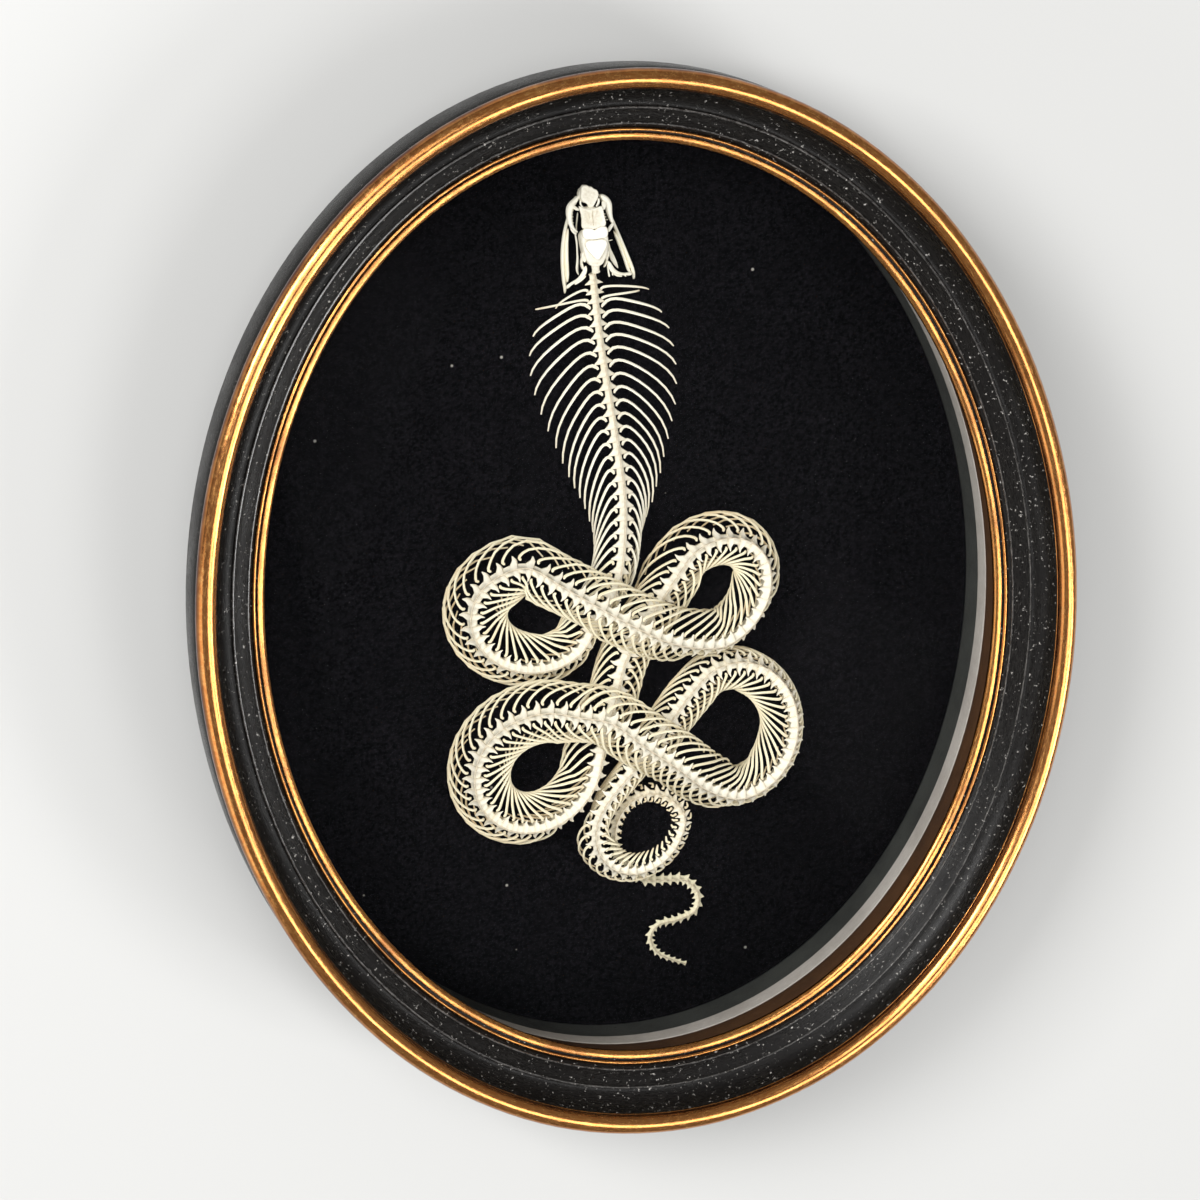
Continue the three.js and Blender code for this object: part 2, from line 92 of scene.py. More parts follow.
def newMaterial(name):
    material = bpy.data.materials.new(name)
    material.use_nodes = True
    tree = material.node_tree
    return material, tree, tree.nodes["Principled BSDF"]


def setInputs(tree, node, inputs):
    for key, value in inputs.items():
        if isinstance(value, bpy.types.NodeSocket):
            tree.links.new(value, node.inputs[key])
        else:
            node.inputs[key].default_value = value


def addNode(tree, kind, inputs=None, **settings):
    node = tree.nodes.new(kind)
    for key, value in settings.items():
        setattr(node, key, value)
    setInputs(tree, node, inputs or {})
    return node


def mixColours(tree, factor, a, b, blend="MIX"):
    inputs = {0: factor, 6: a, 7: b}
    return addNode(tree, "ShaderNodeMix", inputs, data_type="RGBA", blend_type=blend).outputs[2]


def mathNode(tree, operation, a, b, clamp=False):
    return addNode(tree, "ShaderNodeMath", {0: a, 1: b}, operation=operation, use_clamp=clamp).outputs[0]


def rangeNode(tree, value, lowShade, high, outLow=0.0, outHigh=1.0):
    inputs = {"Value": value, "From Min": lowShade, "From Max": high, "To Min": outLow, "To Max": outHigh}
    return addNode(tree, "ShaderNodeMapRange", inputs).outputs["Result"]


def objectPlace(tree):
    return addNode(tree, "ShaderNodeTexCoord").outputs["Object"]


def noiseNode(tree, place, scale, detail, rough):
    inputs = {"Vector": place, "Scale": scale, "Detail": detail, "Roughness": rough}
    return addNode(tree, "ShaderNodeTexNoise", inputs).outputs["Fac"]


def attributeNode(tree, name, output="Fac"):
    return addNode(tree, "ShaderNodeAttribute", attribute_name=name).outputs[output]


def bumpNode(tree, height, strength, distance):
    inputs = {"Height": height, "Strength": strength, "Distance": distance * mm}
    return addNode(tree, "ShaderNodeBump", inputs).outputs["Normal"]


# Node group that takes colours and numbers and gives a colour, a roughness and a height.
def newGroup(name, colours, numbers):
    group = bpy.data.node_groups.new(name, "ShaderNodeTree")
    for way, kind, labels in (("INPUT", "NodeSocketColor", colours), ("INPUT", "NodeSocketFloat", numbers),
                              ("OUTPUT", "NodeSocketColor", ["Color"]),
                              ("OUTPUT", "NodeSocketFloat", ["Roughness", "Height"])):
        for label in labels:
            group.interface.new_socket(label, in_out=way, socket_type=kind)
    return group, group.nodes.new("NodeGroupInput").outputs


# Mottled bone with fine pores, warmer where it carries stain; painted shade makes it warmer and darker the
# lower it lies and pale up on its crown.
# Noises are scale, detail and roughness; the other rows are spans of noise and what they turn into.
boneSurface = {"cloud": (240, 4, 0.6), "grain": (1500, 3, 0.5), "poreScale": 2600, "cloudSpan": (0.3, 0.7),
               "warmSway": 0.28, "warmest": 0.9, "mottle": (0.3, 0.65, 0.5, 1.0),
               "pores": (0.0, 0.25, 0.82, 1.0), "rough": (0.42, 0.62), "shine": 0.35}


def makeBoneGroup():
    group, given = newGroup("boneAgeingAndShade", ["Pale", "Warm", "Stain"], ["Stain Mask", "Shaded Below", "Lit Above"])
    place = objectPlace(group)
    upDown = addNode(group, "ShaderNodeSeparateXYZ", {"Vector": place}).outputs["Z"]
    cloud = noiseNode(group, place, *boneSurface["cloud"])
    grain = noiseNode(group, place, *boneSurface["grain"])
    pores = addNode(group, "ShaderNodeTexVoronoi", {"Vector": place, "Scale": boneSurface["poreScale"]})
    # Painted shade: fully warm at and below the lower height, fully pale at and above the upper one.
    lowShade = rangeNode(group, upDown, given["Shaded Below"], given["Lit Above"], 1.0, 0.0)
    sway = boneSurface["warmSway"]
    spread = mathNode(group, "ADD", lowShade, rangeNode(group, cloud, *boneSurface["cloudSpan"], -sway, sway))
    warm = mathNode(group, "MULTIPLY", spread, boneSurface["warmest"], clamp=True)
    colour = mixColours(group, warm, given["Pale"], given["Warm"])
    mottle = rangeNode(group, grain, *boneSurface["mottle"])
    stain = mathNode(group, "MULTIPLY", given["Stain Mask"], mottle, clamp=True)
    colour = mixColours(group, stain, colour, given["Stain"])
    speck = rangeNode(group, pores.outputs["Distance"], *boneSurface["pores"])
    addNode(group, "NodeGroupOutput", {
        "Color": mixColours(group, 1.0, colour, speck, "MULTIPLY"),
        "Roughness": rangeNode(group, cloud, *boneSurface["cloudSpan"], *boneSurface["rough"]),
        "Height": mathNode(group, "ADD", grain, speck)})
    return group


boneGroup = makeBoneGroup()


def boneMaterial(name, pale, warm, stain, shadedBelow, high, relief, bumps=0.05):
    material, tree, shader = newMaterial(name)
    ageingAndShade = addNode(tree, "ShaderNodeGroup", {
        "Pale": pale, "Warm": warm, "Stain": stain, "Shaded Below": shadedBelow * mm, "Lit Above": high * mm,
        "Stain Mask": attributeNode(tree, "stain")}, node_tree=boneGroup).outputs
    setInputs(tree, shader, {"Base Color": ageingAndShade["Color"], "Roughness": ageingAndShade["Roughness"],
                             "Normal": bumpNode(tree, ageingAndShade["Height"], relief, bumps),
                             "Specular IOR Level": boneSurface["shine"]})
    return material


# Worn surface of the frame: broad patches, hairline scratches and dust specks, and painted shade that darkens
# a bead's sides away from its crest.
wearSurface = {"patch": (55, 6, 0.65), "fine": (1000, 4, 0.7), "brushed": (1, 5, 0.75),
               "worn": (0.42, 0.7), "sooty": (0.42, 0.66),
               "sideShadeSway": (0.3, 0.7, -0.5, 0.5), "lint": (0.63, 0.68), "lintColour": (0.62, 0.59, 0.55, 1),
               "scratchRough": (0.3, 0.7, 0.0, 0.22), "sootRough": 0.25, "bumps": 0.15, "coatRough": 0.25}


def makeWearAndShadeGroup():
    group, given = newGroup("frameWearAndShade", ["Base", "Worn", "Dark"], ["Wear", "Soot", "Dust", "Side Shade"])
    place = objectPlace(group)
    patch = noiseNode(group, place, *wearSurface["patch"])
    fine = noiseNode(group, place, *wearSurface["fine"])
    brushed = noiseNode(group, attributeNode(group, "along", "Vector"), *wearSurface["brushed"])
    scratches = rangeNode(group, brushed, *wearSurface["worn"])
    wear = mathNode(group, "MULTIPLY", given["Wear"], scratches, clamp=True)
    smoke = rangeNode(group, patch, *wearSurface["sooty"])
    soot = mathNode(group, "MULTIPLY", given["Soot"], smoke, clamp=True)
    # Painted shade on the sides away from the crest, varied a little by the patches.
    sway = mathNode(group, "MULTIPLY", given["Side Shade"], rangeNode(group, patch, *wearSurface["sideShadeSway"]))
    sideShade = mathNode(group, "ADD", given["Side Shade"], sway, clamp=True)
    colour = mixColours(group, wear, given["Base"], given["Worn"])
    colour = mixColours(group, mathNode(group, "MAXIMUM", soot, sideShade), colour, given["Dark"])
    dust = mathNode(group, "MULTIPLY", rangeNode(group, fine, *wearSurface["lint"]), given["Dust"])
    addNode(group, "NodeGroupOutput", {
        "Color": mixColours(group, dust, colour, wearSurface["lintColour"]),
        "Roughness": mathNode(group, "ADD", rangeNode(group, brushed, *wearSurface["scratchRough"]),
                              mathNode(group, "MULTIPLY", soot, wearSurface["sootRough"])),
        "Height": mathNode(group, "ADD", brushed, fine)})
    return group


wearAndShadeGroup = makeWearAndShadeGroup()


# What the finishes of the frame share; each finish names what differs.
commonLook = {"Wear": 0.6, "Soot": 0.5, "Dust": 0.1, "rough": 0.25, "relief": 0.3, "metal": 0.0, "coat": 0.3,
              "shine": 0.5}


def frameMaterial(name, look):
    look = {**commonLook, **look}
    material, tree, shader = newMaterial(name)
    inputs = {key: look[key] for key in ("Base", "Worn", "Dark", "Wear", "Soot")}
    inputs["Side Shade"] = attributeNode(tree, "sideShade")
    inputs["Dust"] = mathNode(tree, "MULTIPLY", attributeNode(tree, "settled"), look["Dust"])
    wear = addNode(tree, "ShaderNodeGroup", inputs, node_tree=wearAndShadeGroup).outputs
    setInputs(tree, shader, {"Base Color": wear["Color"],
                             "Roughness": mathNode(tree, "ADD", wear["Roughness"], look["rough"], clamp=True),
                             "Normal": bumpNode(tree, wear["Height"], look["relief"], wearSurface["bumps"]),
                             "Metallic": look["metal"], "Specular IOR Level": look["shine"],
                             "Coat Weight": look["coat"], "Coat Roughness": wearSurface["coatRough"]})
    return material


# Each bone's colours, bump relief, and the two heights in mm between which its painted shade fades from warm
# to pale.
finishes = {
    "spine": {"pale": (0.91, 0.86, 0.71, 1), "warm": (0.85, 0.74, 0.50, 1), "stain": (0.48, 0.37, 0.22, 1),
              "shadedBelow": 1.0, "high": 14.0, "relief": 0.4},
    "ribs": {"pale": (0.93, 0.86, 0.63, 1), "warm": (0.80, 0.58, 0.30, 1), "stain": (0.58, 0.40, 0.20, 1),
             "shadedBelow": 1.0, "high": 12.0, "relief": 0.3},
    "hood": {"pale": (0.94, 0.90, 0.75, 1), "warm": (0.90, 0.82, 0.60, 1), "stain": (0.60, 0.44, 0.25, 1),
             "shadedBelow": 0.0, "high": 10.0, "relief": 0.3},
    "tail": {"pale": (0.82, 0.78, 0.57, 1), "warm": (0.78, 0.71, 0.49, 1), "stain": (0.45, 0.33, 0.22, 1),
             "shadedBelow": 2.0, "high": 12.0, "relief": 0.35},
    "skull": {"pale": (0.95, 0.93, 0.82, 1), "warm": (0.86, 0.79, 0.58, 1), "stain": (0.46, 0.37, 0.22, 1),
              "shadedBelow": 2.0, "high": 12.0, "relief": 0.45, "bumps": 0.12},
}
spineBone, ribBone, hoodBone, tailBone, skullBone = (
    boneMaterial("bone_" + key, **finishes[key]) for key in finishes)

ebony = frameMaterial("ebonised_wood", {
    "Base": (0.0045, 0.004, 0.0035, 1), "Worn": (0.024, 0.021, 0.019, 1), "Dark": (0.002, 0.0015, 0.0015, 1),
    "Soot": 0.6, "Dust": 0.75, "rough": 0.14, "relief": 0.6, "coat": 0.04, "shine": 0.16})
gilt = frameMaterial("aged_gilt", {
    "Base": (0.58, 0.21, 0.045, 1), "Worn": (0.97, 0.54, 0.18, 1), "Dark": (0.09, 0.022, 0.007, 1),
    "Soot": 0.35, "rough": 0.06, "relief": 0.1, "metal": 0.97})
brightGilt = frameMaterial("bright_gilt", {
    "Base": (0.52, 0.20, 0.04, 1), "Worn": (0.95, 0.54, 0.18, 1), "Dark": (0.12, 0.033, 0.010, 1),
    "Soot": 0.6, "rough": 0.06, "relief": 0.25, "metal": 0.95})
linerPaint = frameMaterial("liner_paint", {
    "Base": (0.052, 0.055, 0.050, 1), "Worn": (0.080, 0.080, 0.072, 1), "Dark": (0.018, 0.018, 0.017, 1),
    "Wear": 0.5, "Dust": 0.15, "relief": 0.2})
# Pale band near the top of the box wall: a painted highlight standing for the light that falls on the wall
# there.
litBandPaint = frameMaterial("band_paint_painted_light", {
    "Base": (0.55, 0.51, 0.46, 1), "Worn": (0.75, 0.71, 0.66, 1), "Dark": (0.26, 0.23, 0.20, 1),
    "Soot": 0.4, "coat": 0.4})
brownWood = frameMaterial("brown_wood", {
    "Base": (0.075, 0.034, 0.014, 1), "Worn": (0.15, 0.075, 0.034, 1), "Dark": (0.025, 0.012, 0.007, 1),
    "Dust": 0.2, "rough": 0.35, "coat": 0.15})
# Thin glossy rings on the moulding's edges: their pale worn streaks and thick dust are partly real rubbing
# and partly a painted highlight line.
rubbedEdgeAndHighlight = frameMaterial("rubbed_edge_and_highlight", {
    "Base": (0.014, 0.013, 0.012, 1), "Worn": (0.22, 0.21, 0.20, 1), "Dark": (0.008, 0.007, 0.006, 1),
    "Wear": 0.8, "Soot": 0.6, "Dust": 0.9, "rough": 0.08, "coat": 0.8})
backBoard = frameMaterial("back_board", {
    "Base": (0.030, 0.026, 0.023, 1), "Worn": (0.060, 0.052, 0.044, 1), "Dark": (0.015, 0.012, 0.010, 1),
    "Dust": 0.3, "rough": 0.6, "relief": 0.4, "coat": 0.0})


velvetLook = {"black": (0.0006, 0.0005, 0.0008, 1), "tip": (0.0120, 0.0105, 0.0130, 1),
              "brushed": (0.0020, 0.0017, 0.0022, 1), "lint": (0.30, 0.28, 0.25, 1),
              "nap": (900, 5, 0.75), "napSpan": (0.42, 0.75), "strokes": (70, 5, 0.6),
              "strokeSpan": (0.4, 0.7, 0.0, 0.5), "lintScale": 150, "lintShare": (0.82, 0.825),
              "lintSize": (0.045, 0.075), "relief": 0.3, "bumps": 0.2, "shine": 0.05, "sheen": 0.008}
glassLook = {"colour": (0.03, 0.035, 0.04, 1), "alpha": 0.015, "shine": 0.1, "smear": (18, 5, 0.6),
             "rough": (0.3, 0.7, 0.02, 0.10)}


def makeVelvet():
    material, tree, shader = newMaterial("black_velvet")
    place = objectPlace(tree)
    nap = noiseNode(tree, place, *velvetLook["nap"])
    strokes = noiseNode(tree, place, *velvetLook["strokes"])
    lint = addNode(tree, "ShaderNodeTexVoronoi", {"Vector": place, "Scale": velvetLook["lintScale"]}).outputs
    pick = addNode(tree, "ShaderNodeSeparateColor", {"Color": lint["Color"]})
    rare = rangeNode(tree, pick.outputs["Red"], *velvetLook["lintShare"])
    dot = rangeNode(tree, lint["Distance"], *velvetLook["lintSize"], 1.0, 0.0)
    raised = rangeNode(tree, nap, *velvetLook["napSpan"])
    shade = mixColours(tree, raised, velvetLook["black"], velvetLook["tip"])
    stroked = rangeNode(tree, strokes, *velvetLook["strokeSpan"])
    shade = mixColours(tree, stroked, shade, velvetLook["brushed"])
    shade = mixColours(tree, mathNode(tree, "MULTIPLY", rare, dot), shade, velvetLook["lint"])
    setInputs(tree, shader, {"Base Color": shade, "Roughness": 1.0, "Specular IOR Level": velvetLook["shine"],
                             "Normal": bumpNode(tree, nap, velvetLook["relief"], velvetLook["bumps"]),
                             "Sheen Weight": velvetLook["sheen"], "Sheen Roughness": 0.4})
    return material


def makeGlass():
    material, tree, shader = newMaterial("clear_glass")
    smear = noiseNode(tree, objectPlace(tree), *glassLook["smear"])
    setInputs(tree, shader, {"Base Color": glassLook["colour"], "Specular IOR Level": glassLook["shine"],
                             "Alpha": glassLook["alpha"],
                             "Roughness": rangeNode(tree, smear, *glassLook["rough"])})
    return material


velvet = makeVelvet()
glass = makeGlass()
print("finishes made")


oval = {"sightWidth": 203.2, "sightLength": 254.0, "steps": 168, "carrier": 200.0,
        "textureScale": (60, 2.6, 2.1), "waves": (7, 19), "waveTilt": 1.3, "waveLift": 0.6,
        "dustMargin": 19.5, "dustHeight": 32, "sideDust": 0.2,
        "sideShadeStart": 0.55, "sideShadeSlope": 1.4, "sideShadeMost": 0.9}


# A point that lies a fixed distance outside the sight edge.
def ovalPoint(angle, margin):
    a, b = oval["sightWidth"] / 2, oval["sightLength"] / 2
    normal = Vector((math.cos(angle) * b, math.sin(angle) * a)).normalized()
    return Vector((a * math.cos(angle), b * math.sin(angle))) + normal * margin


# Closed section of (margin, height) points spun round the carrier circle and moved out to the oval.
def ovalRing(name, section, material, node, wobble=0.0, crest=None):
    bm = bmesh.new()
    corners = [bm.verts.new((oval["carrier"] + margin, 0, height)) for margin, height in section]
    edges = [bm.edges.new((corners[i], corners[(i + 1) % len(corners)])) for i in range(len(corners))]
    bmesh.ops.spin(bm, geom=corners + edges, cent=(0, 0, 0), axis=(0, 0, 1), angle=2 * math.pi,
                   steps=oval["steps"], use_merge=True, use_duplicate=False)
    outwards(bm)
    along = bm.verts.layers.float_vector.new("along")
    sideShade = bm.verts.layers.float.new("sideShade")
    settled = bm.verts.layers.float.new("settled")
    around, across, upwards = oval["textureScale"]
    slow, fast = oval["waves"]
    for vert in bm.verts:
        angle = math.atan2(vert.co.y, vert.co.x)
        margin = math.hypot(vert.co.x, vert.co.y) - oval["carrier"]
        height = vert.co.z
        vert[along] = (math.cos(angle) * around, math.sin(angle) * around, margin * across + height * upwards)
        onFront = margin < oval["dustMargin"] and height > oval["dustHeight"]
        vert[settled] = 1.0 if onFront else oval["sideDust"]  # dust gathers on the front, not on the sides
        # Painted shade: the farther a point lies from the crest, the darker its colour, up to a limit.
        if crest:
            away = math.hypot(margin - crest[0], height - crest[1]) / crest[2] - oval["sideShadeStart"]
            vert[sideShade] = min(oval["sideShadeMost"], max(0.0, away * oval["sideShadeSlope"]))
        waves = math.sin(slow * angle + height) + math.sin(fast * angle + oval["waveTilt"] * margin)
        uneven = wobble * waves
        place = ovalPoint(angle, margin + uneven)
        vert.co = (place.x, place.y, height + uneven * oval["waveLift"])
    finishPiece(name, bm, material, [node])


def roundSection(centre, radius, sides):
    angles = [2 * math.pi * i / sides for i in range(sides)]
    return [(centre[0] + radius * math.cos(a), centre[1] + radius * math.sin(a)) for a in angles]


# Sections are (margin, height) points; rounds are a centre, a radius and a number of sides.
frameShape = {
    "moulding": [(3.6, 31.0), (19.4, 31.0), (19.9, 31.3), (20.1, 31.9), (20.1, 41.8), (19.6, 42.7),
                 (17.4, 43.6), (15.4, 44.3), (14.9, 44.5), (14.6, 44.0), (14.2, 42.6), (13.5, 41.0),
                 (12.6, 39.7), (11.6, 38.9), (10.6, 38.4), (9.9, 38.2), (9.6, 38.3), (9.35, 38.85),
                 (9.1, 39.0), (8.85, 38.9), (8.5, 38.6), (7.4, 38.2), (5.4, 37.1), (4.2, 36.3), (3.7, 35.8),
                 (3.6, 35.2), (2.2, 34.9), (2.0, 34.6), (2.0, 33.5), (3.6, 33.5)],
    "edges": {"outer": ((9.15, 38.85), 0.28, 8), "inner": ((4.75, 36.85), 0.24, 8)},
    "bead": ((17.4, 44.9), 2.7, 24), "beadCrest": (17.3, 47.6, 2.9), "beadFoot": ((14.95, 44.45), 0.35, 10),
    "thinBead": ((3.05, 35.75), 0.45, 10),
    "lip": [(0.25, 33.4), (1.9, 33.4), (2.15, 34.2), (2.15, 35.2), (1.95, 35.4), (1.4, 35.45), (0.8, 35.3),
            (0.3, 35.0), (0.05, 34.6), (0.0, 34.1), (0.08, 33.6)],
    "lipCrest": (1.0, 35.4, 1.5),
    "sleeve": [(7.0, 3.3), (7.8, 3.3), (8.0, 3.5), (8.0, 30.5), (7.8, 30.7), (7.0, 30.7)],
    "wall": [(4.5, 3.3), (6.9, 3.3), (6.9, 12.4), (4.7, 12.4), (4.5, 12.2)],
    # This band of the wall is painted pale as a highlight.
    "band": [(4.3, 12.6), (6.9, 12.6), (6.9, 18.9), (4.1, 18.9), (4.0, 18.7), (4.0, 18.2), (4.25, 13.0)],
    "rabbet": [(3.9, 19.6), (6.9, 19.6), (6.9, 30.7), (2.3, 30.7), (2.2, 30.5), (2.2, 29.0), (3.4, 28.2),
               (3.6, 24.0), (3.75, 20.0)],
}

ovalRing("moulding_ebonised", frameShape["moulding"], ebony, "frame_moulding")
# Edge rings whose pale streaks are partly wear and partly a painted highlight line.
for name, edge in frameShape["edges"].items():
    ovalRing("moulding_edge_" + name, roundSection(*edge), rubbedEdgeAndHighlight, "frame_moulding", 0.01)
# The outer bead and the sight lip carry painted shade on their sides away from the crest.
ovalRing("outer_bead_gilt", roundSection(*frameShape["bead"]), gilt, "frame_outer_bead", 0.02,
         frameShape["beadCrest"])
ovalRing("bead_foot_gilt", roundSection(*frameShape["beadFoot"]), brightGilt, "frame_outer_bead",
         0.02)
ovalRing("thin_bead_gilt", roundSection(*frameShape["thinBead"]), brightGilt, "frame_inner_lip", 0.02)
ovalRing("sight_lip_gilt", frameShape["lip"], brightGilt, "frame_inner_lip", 0.015,
         frameShape["lipCrest"])
for name, key, material in (("box_sleeve", "sleeve", ebony), ("box_wall_painted", "wall", linerPaint),
                            ("box_wall_lit_band", "band", litBandPaint), ("glass_rabbet", "rabbet", brownWood)):
    ovalRing(name, frameShape[key], material, "box_wall")


# Flat oval sheet with eased edges and a few rings of faces on top.
def ovalSheet(name, sheet, material, node):
    bm = bmesh.new()
    reach = oval["carrier"] + sheet["margin"]
    bmesh.ops.create_circle(bm, cap_ends=True, segments=oval["steps"], radius=reach)
    for inset in sheet["insets"]:
        widest = max(bm.faces, key=lambda face: face.calc_area())
        bmesh.ops.inset_region(bm, faces=[widest], thickness=inset)
    bmesh.ops.translate(bm, vec=(0, 0, sheet["thickness"]), verts=extrudeFaces(bm, bm.faces[:]))
    outwards(bm)
    rim = [e for e in bm.edges if e.calc_face_angle(0) > 1.0]
    bmesh.ops.bevel(bm, geom=rim, offset=sheet["ease"], offset_type="OFFSET", affect="EDGES", segments=2,
                    profile=0.5, material=-1)
    along = bm.verts.layers.float_vector.new("along")
    for vert in bm.verts:
        place = ovalPoint(math.atan2(vert.co.y, vert.co.x), sheet["margin"])
        share = math.hypot(vert.co.x, vert.co.y) / reach
        vert.co = (place.x * share, place.y * share, vert.co.z + sheet["bottom"])
        vert[along] = vert.co * 0.9
    finishPiece(name, bm, material, [node])


sheets = {
    "velvet_ground": {"margin": 4.2, "thickness": 0.7, "bottom": 3.3, "ease": 0.25, "insets": [1.5, 30, 60]},
    "back_board": {"margin": 8.0, "thickness": 3.0, "bottom": 0.0, "ease": 0.5, "insets": [2.0, 60]},
    "glass_sheet": {"margin": 3.2, "thickness": 2.0, "bottom": 31.1, "ease": 0.2, "insets": [60]},
}
for name, material, slot, node in (("velvet_ground", velvet, "velvet", "velvet_pad"),
                                   ("back_board", backBoard, "backing", "box_back"),
                                   ("glass_sheet", glass, "glazing", "glass")):
    ovalSheet(name, sheets[name], material, node)
print("frame, box and glass made")


velvetTop = 4.0
# The spine seen from above, from neck to tail: runs through points and arcs of leaning ovals.
course = [
    {"points": [(5.8, 87.3), (5.4, 69), (5.7, 46.8), (5.3, 24.6), (1.7, 6.3), (-2.4, -2.6)]},
    {"centre": (-24.5, -1.7), "radii": (18.1, 15.9), "lean": -22, "turn": (-2, -245), "steps": 9},
    {"points": [(-18.3, 8.5), (-9.4, 1), (0, -6.8), (9.7, -14)]},
    {"centre": (28.8, -5.9), "radii": (15.9, 13.7), "lean": 44, "turn": (-164, 107), "steps": 8},
    {"points": [(11, -5.5), (4.6, -12.5), (-1, -20.3), (-4.6, -29.4), (-8, -37.4), (-11, -45.6)]},
    {"centre": (-29.4, -44.6), "radii": (19.2, 17.6), "lean": 41, "turn": (-73, -343), "steps": 10},
    {"points": [(-10.2, -32.2), (-2.2, -40.6), (6.4, -49.4), (15.4, -59.5)]},
    {"centre": (29, -46.6), "radii": (17.1, 19.6), "lean": -3, "turn": (-100, 138), "steps": 8},
    {"points": [(10.4, -39.3), (3.6, -46.5), (-3.6, -52.6)]},
    {"centre": (-2.4, -69), "radii": (13, 14.2), "lean": -42, "turn": (175, 396), "steps": 7},
    {"centre": (1.3, -73.2), "radii": (11.9, 9.9), "lean": 81, "turn": (-28, 146), "steps": 5},
    {"points": [(-1.5, -87.7), (4.6, -89.3)]},
    {"centre": (6.1, -95.4), "radii": (8, 6.2), "lean": -32, "turn": (82, -58), "steps": 3},
    {"centre": (6.1, -108.6), "radii": (8.7, 5.9), "lean": -30, "turn": (152, 280), "steps": 3},
    {"points": [(11.3, -118)]},
]
# How the body changes along its length: distance from the neck, value.
profiles = {
    "ridgeHeight": [(0, 7.5), (29, 8), (55, 9.6), (80, 11.3), (131, 11.3), (150, 11.8), (158, 12.8),
        (166, 16.2), (176, 21.5), (186, 24.3), (208, 24.4), (218, 22.5), (228, 18.3), (239, 13.8), (250, 12),
        (300, 11.3), (405, 11.6), (420, 12.6), (430, 16), (440, 20.4), (450, 23.6), (458, 24.4), (476, 24.4),
        (486, 22.8), (496, 19), (506, 14.6), (516, 12.8), (545, 12.3), (570, 11.5), (610, 11.2), (634, 10.6),
        (650, 9.9), (672, 8.6), (684, 7.2), (694, 5.2), (702, 3.5), (712, 2.7), (778, 1.6)],
    "roll": [(0, 0), (80, 2), (92, 9), (106, 22), (114, 25), (155, 25), (165, 20), (175, 10), (192, 0),
        (216, -12), (239, -28), (250, -30), (266, -30), (282, -24), (292, -15), (306, -5), (325, 0), (343, 5),
        (360, 18), (368, 25), (410, 26), (425, 23), (438, 13), (456, 0), (480, -14), (494, -20), (505, -22),
        (538, -22), (552, -32), (560, -30), (571, -18), (580, -10), (600, -4), (619, -6), (634, -14),
        (650, -16), (671, -10), (704, 0), (778, 0)],
    "pitch": [(0, 2.35), (2.35, 2.7), (5.1, 2.5), (7.6, 3), (10.6, 3.25), (17, 3.45), (24, 3.6), (110, 3.75),
        (300, 3.7), (380, 3.45), (560, 3.35), (640, 2.8), (700, 2.5), (740, 2.3), (778, 1.8)],
    "cageHalfWidth": [(0, 13), (4, 14.6), (8, 18.2), (11, 20), (15, 20.8), (18, 20.4), (21, 19.7), (25, 18.5),
        (28, 17), (32, 15.3), (36, 13.6), (43, 11.1), (47, 9.7), (51, 8.3), (55, 7.3), (62, 6.3), (72, 6.3),
        (84, 7.1), (95, 7.8), (112, 8.6), (150, 8.8), (175, 8.3), (400, 8.6), (560, 8), (610, 7), (632, 5.4),
        (645, 4.5), (656, 4), (666, 3.5), (676, 3.1), (698, 2.6), (778, 1)],
    "cageDepth": [(0, 1.5), (8, 1.2), (28, 1), (32, 3.8), (36, 6.4), (43, 7), (60, 8), (75, 9), (90, 9.5),
        (560, 9.5), (610, 8.4), (635, 5.8), (655, 4), (672, 3), (778, 1)],
    "arc": [(0, 78), (28, 82), (36, 90), (43, 100), (60, 118), (80, 134), (95, 142), (560, 142), (610, 134),
        (635, 118), (654, 98), (664, 72), (778, 60)],
    "sweep": [(0, 4.5), (8, 5.4), (11, 7), (15, 9.5), (18, 11.4), (21, 13), (25, 14.8), (32, 16.9), (36, 18),
        (60, 18.5), (100, 22), (400, 22), (560, 19), (610, 14), (632, 8.5), (648, 5.5), (660, 2.6), (670, 1),
        (778, 0)],
    "rise": [(0, 1.2), (40, 1.2), (60, 0.6), (80, 0.15), (778, 0.15)],
    "knobSize": [(0, 1.0), (75, 1.0), (100, 0.45), (778, 0.45)],
}
# Where stretches lie side by side the facing ribs hang steeper: from, to, side, narrowing.
pinches = [(78, 104, 1, 2.8), (292, 330, -1, 2.8), (220, 252, -1, 3.2), (340, 376, 1, 5),
           (552, 598, -1, 2.8), (597, 628, -1, 4.6), (598, 632, 1, 2.2), (242, 290, 1, 2.2),
           (150, 188, -1, 1.4), (520, 560, 1, 0.8), (84, 104, -1, 1.2), (436, 452, -1, 0.8),
           (490, 506, 1, 2), (556, 574, 1, 1), (500, 552, -1, 2.4)]
bodyLengths = [("neck_hood", 0, 78), ("upper_left_bend", 78, 172), ("upper_crossing", 172, 232),
               ("upper_right_bend", 232, 298), ("middle", 298, 348), ("lower_left_bend", 348, 440),
               ("lower_crossing", 440, 500), ("lower_right_bend", 500, 580), ("lower_return", 580, 636),
               ("ring", 636, 706)]
tailLengths = [("tail_base", 706, 742), ("tail_tip", 742, 778)]


def bendPoints(stretch):
    if "points" in stretch:
        return stretch["points"]
    start, end = stretch["turn"]
    lean, points = math.radians(stretch["lean"]), []
    for i in range(stretch["steps"] + 1):
        angle = math.radians(start + (end - start) * i / stretch["steps"])
        x, y = stretch["radii"][0] * math.cos(angle), stretch["radii"][1] * math.sin(angle)
        points.append((stretch["centre"][0] + x * math.cos(lean) - y * math.sin(lean),
                       stretch["centre"][1] + x * math.sin(lean) + y * math.cos(lean)))
    return points


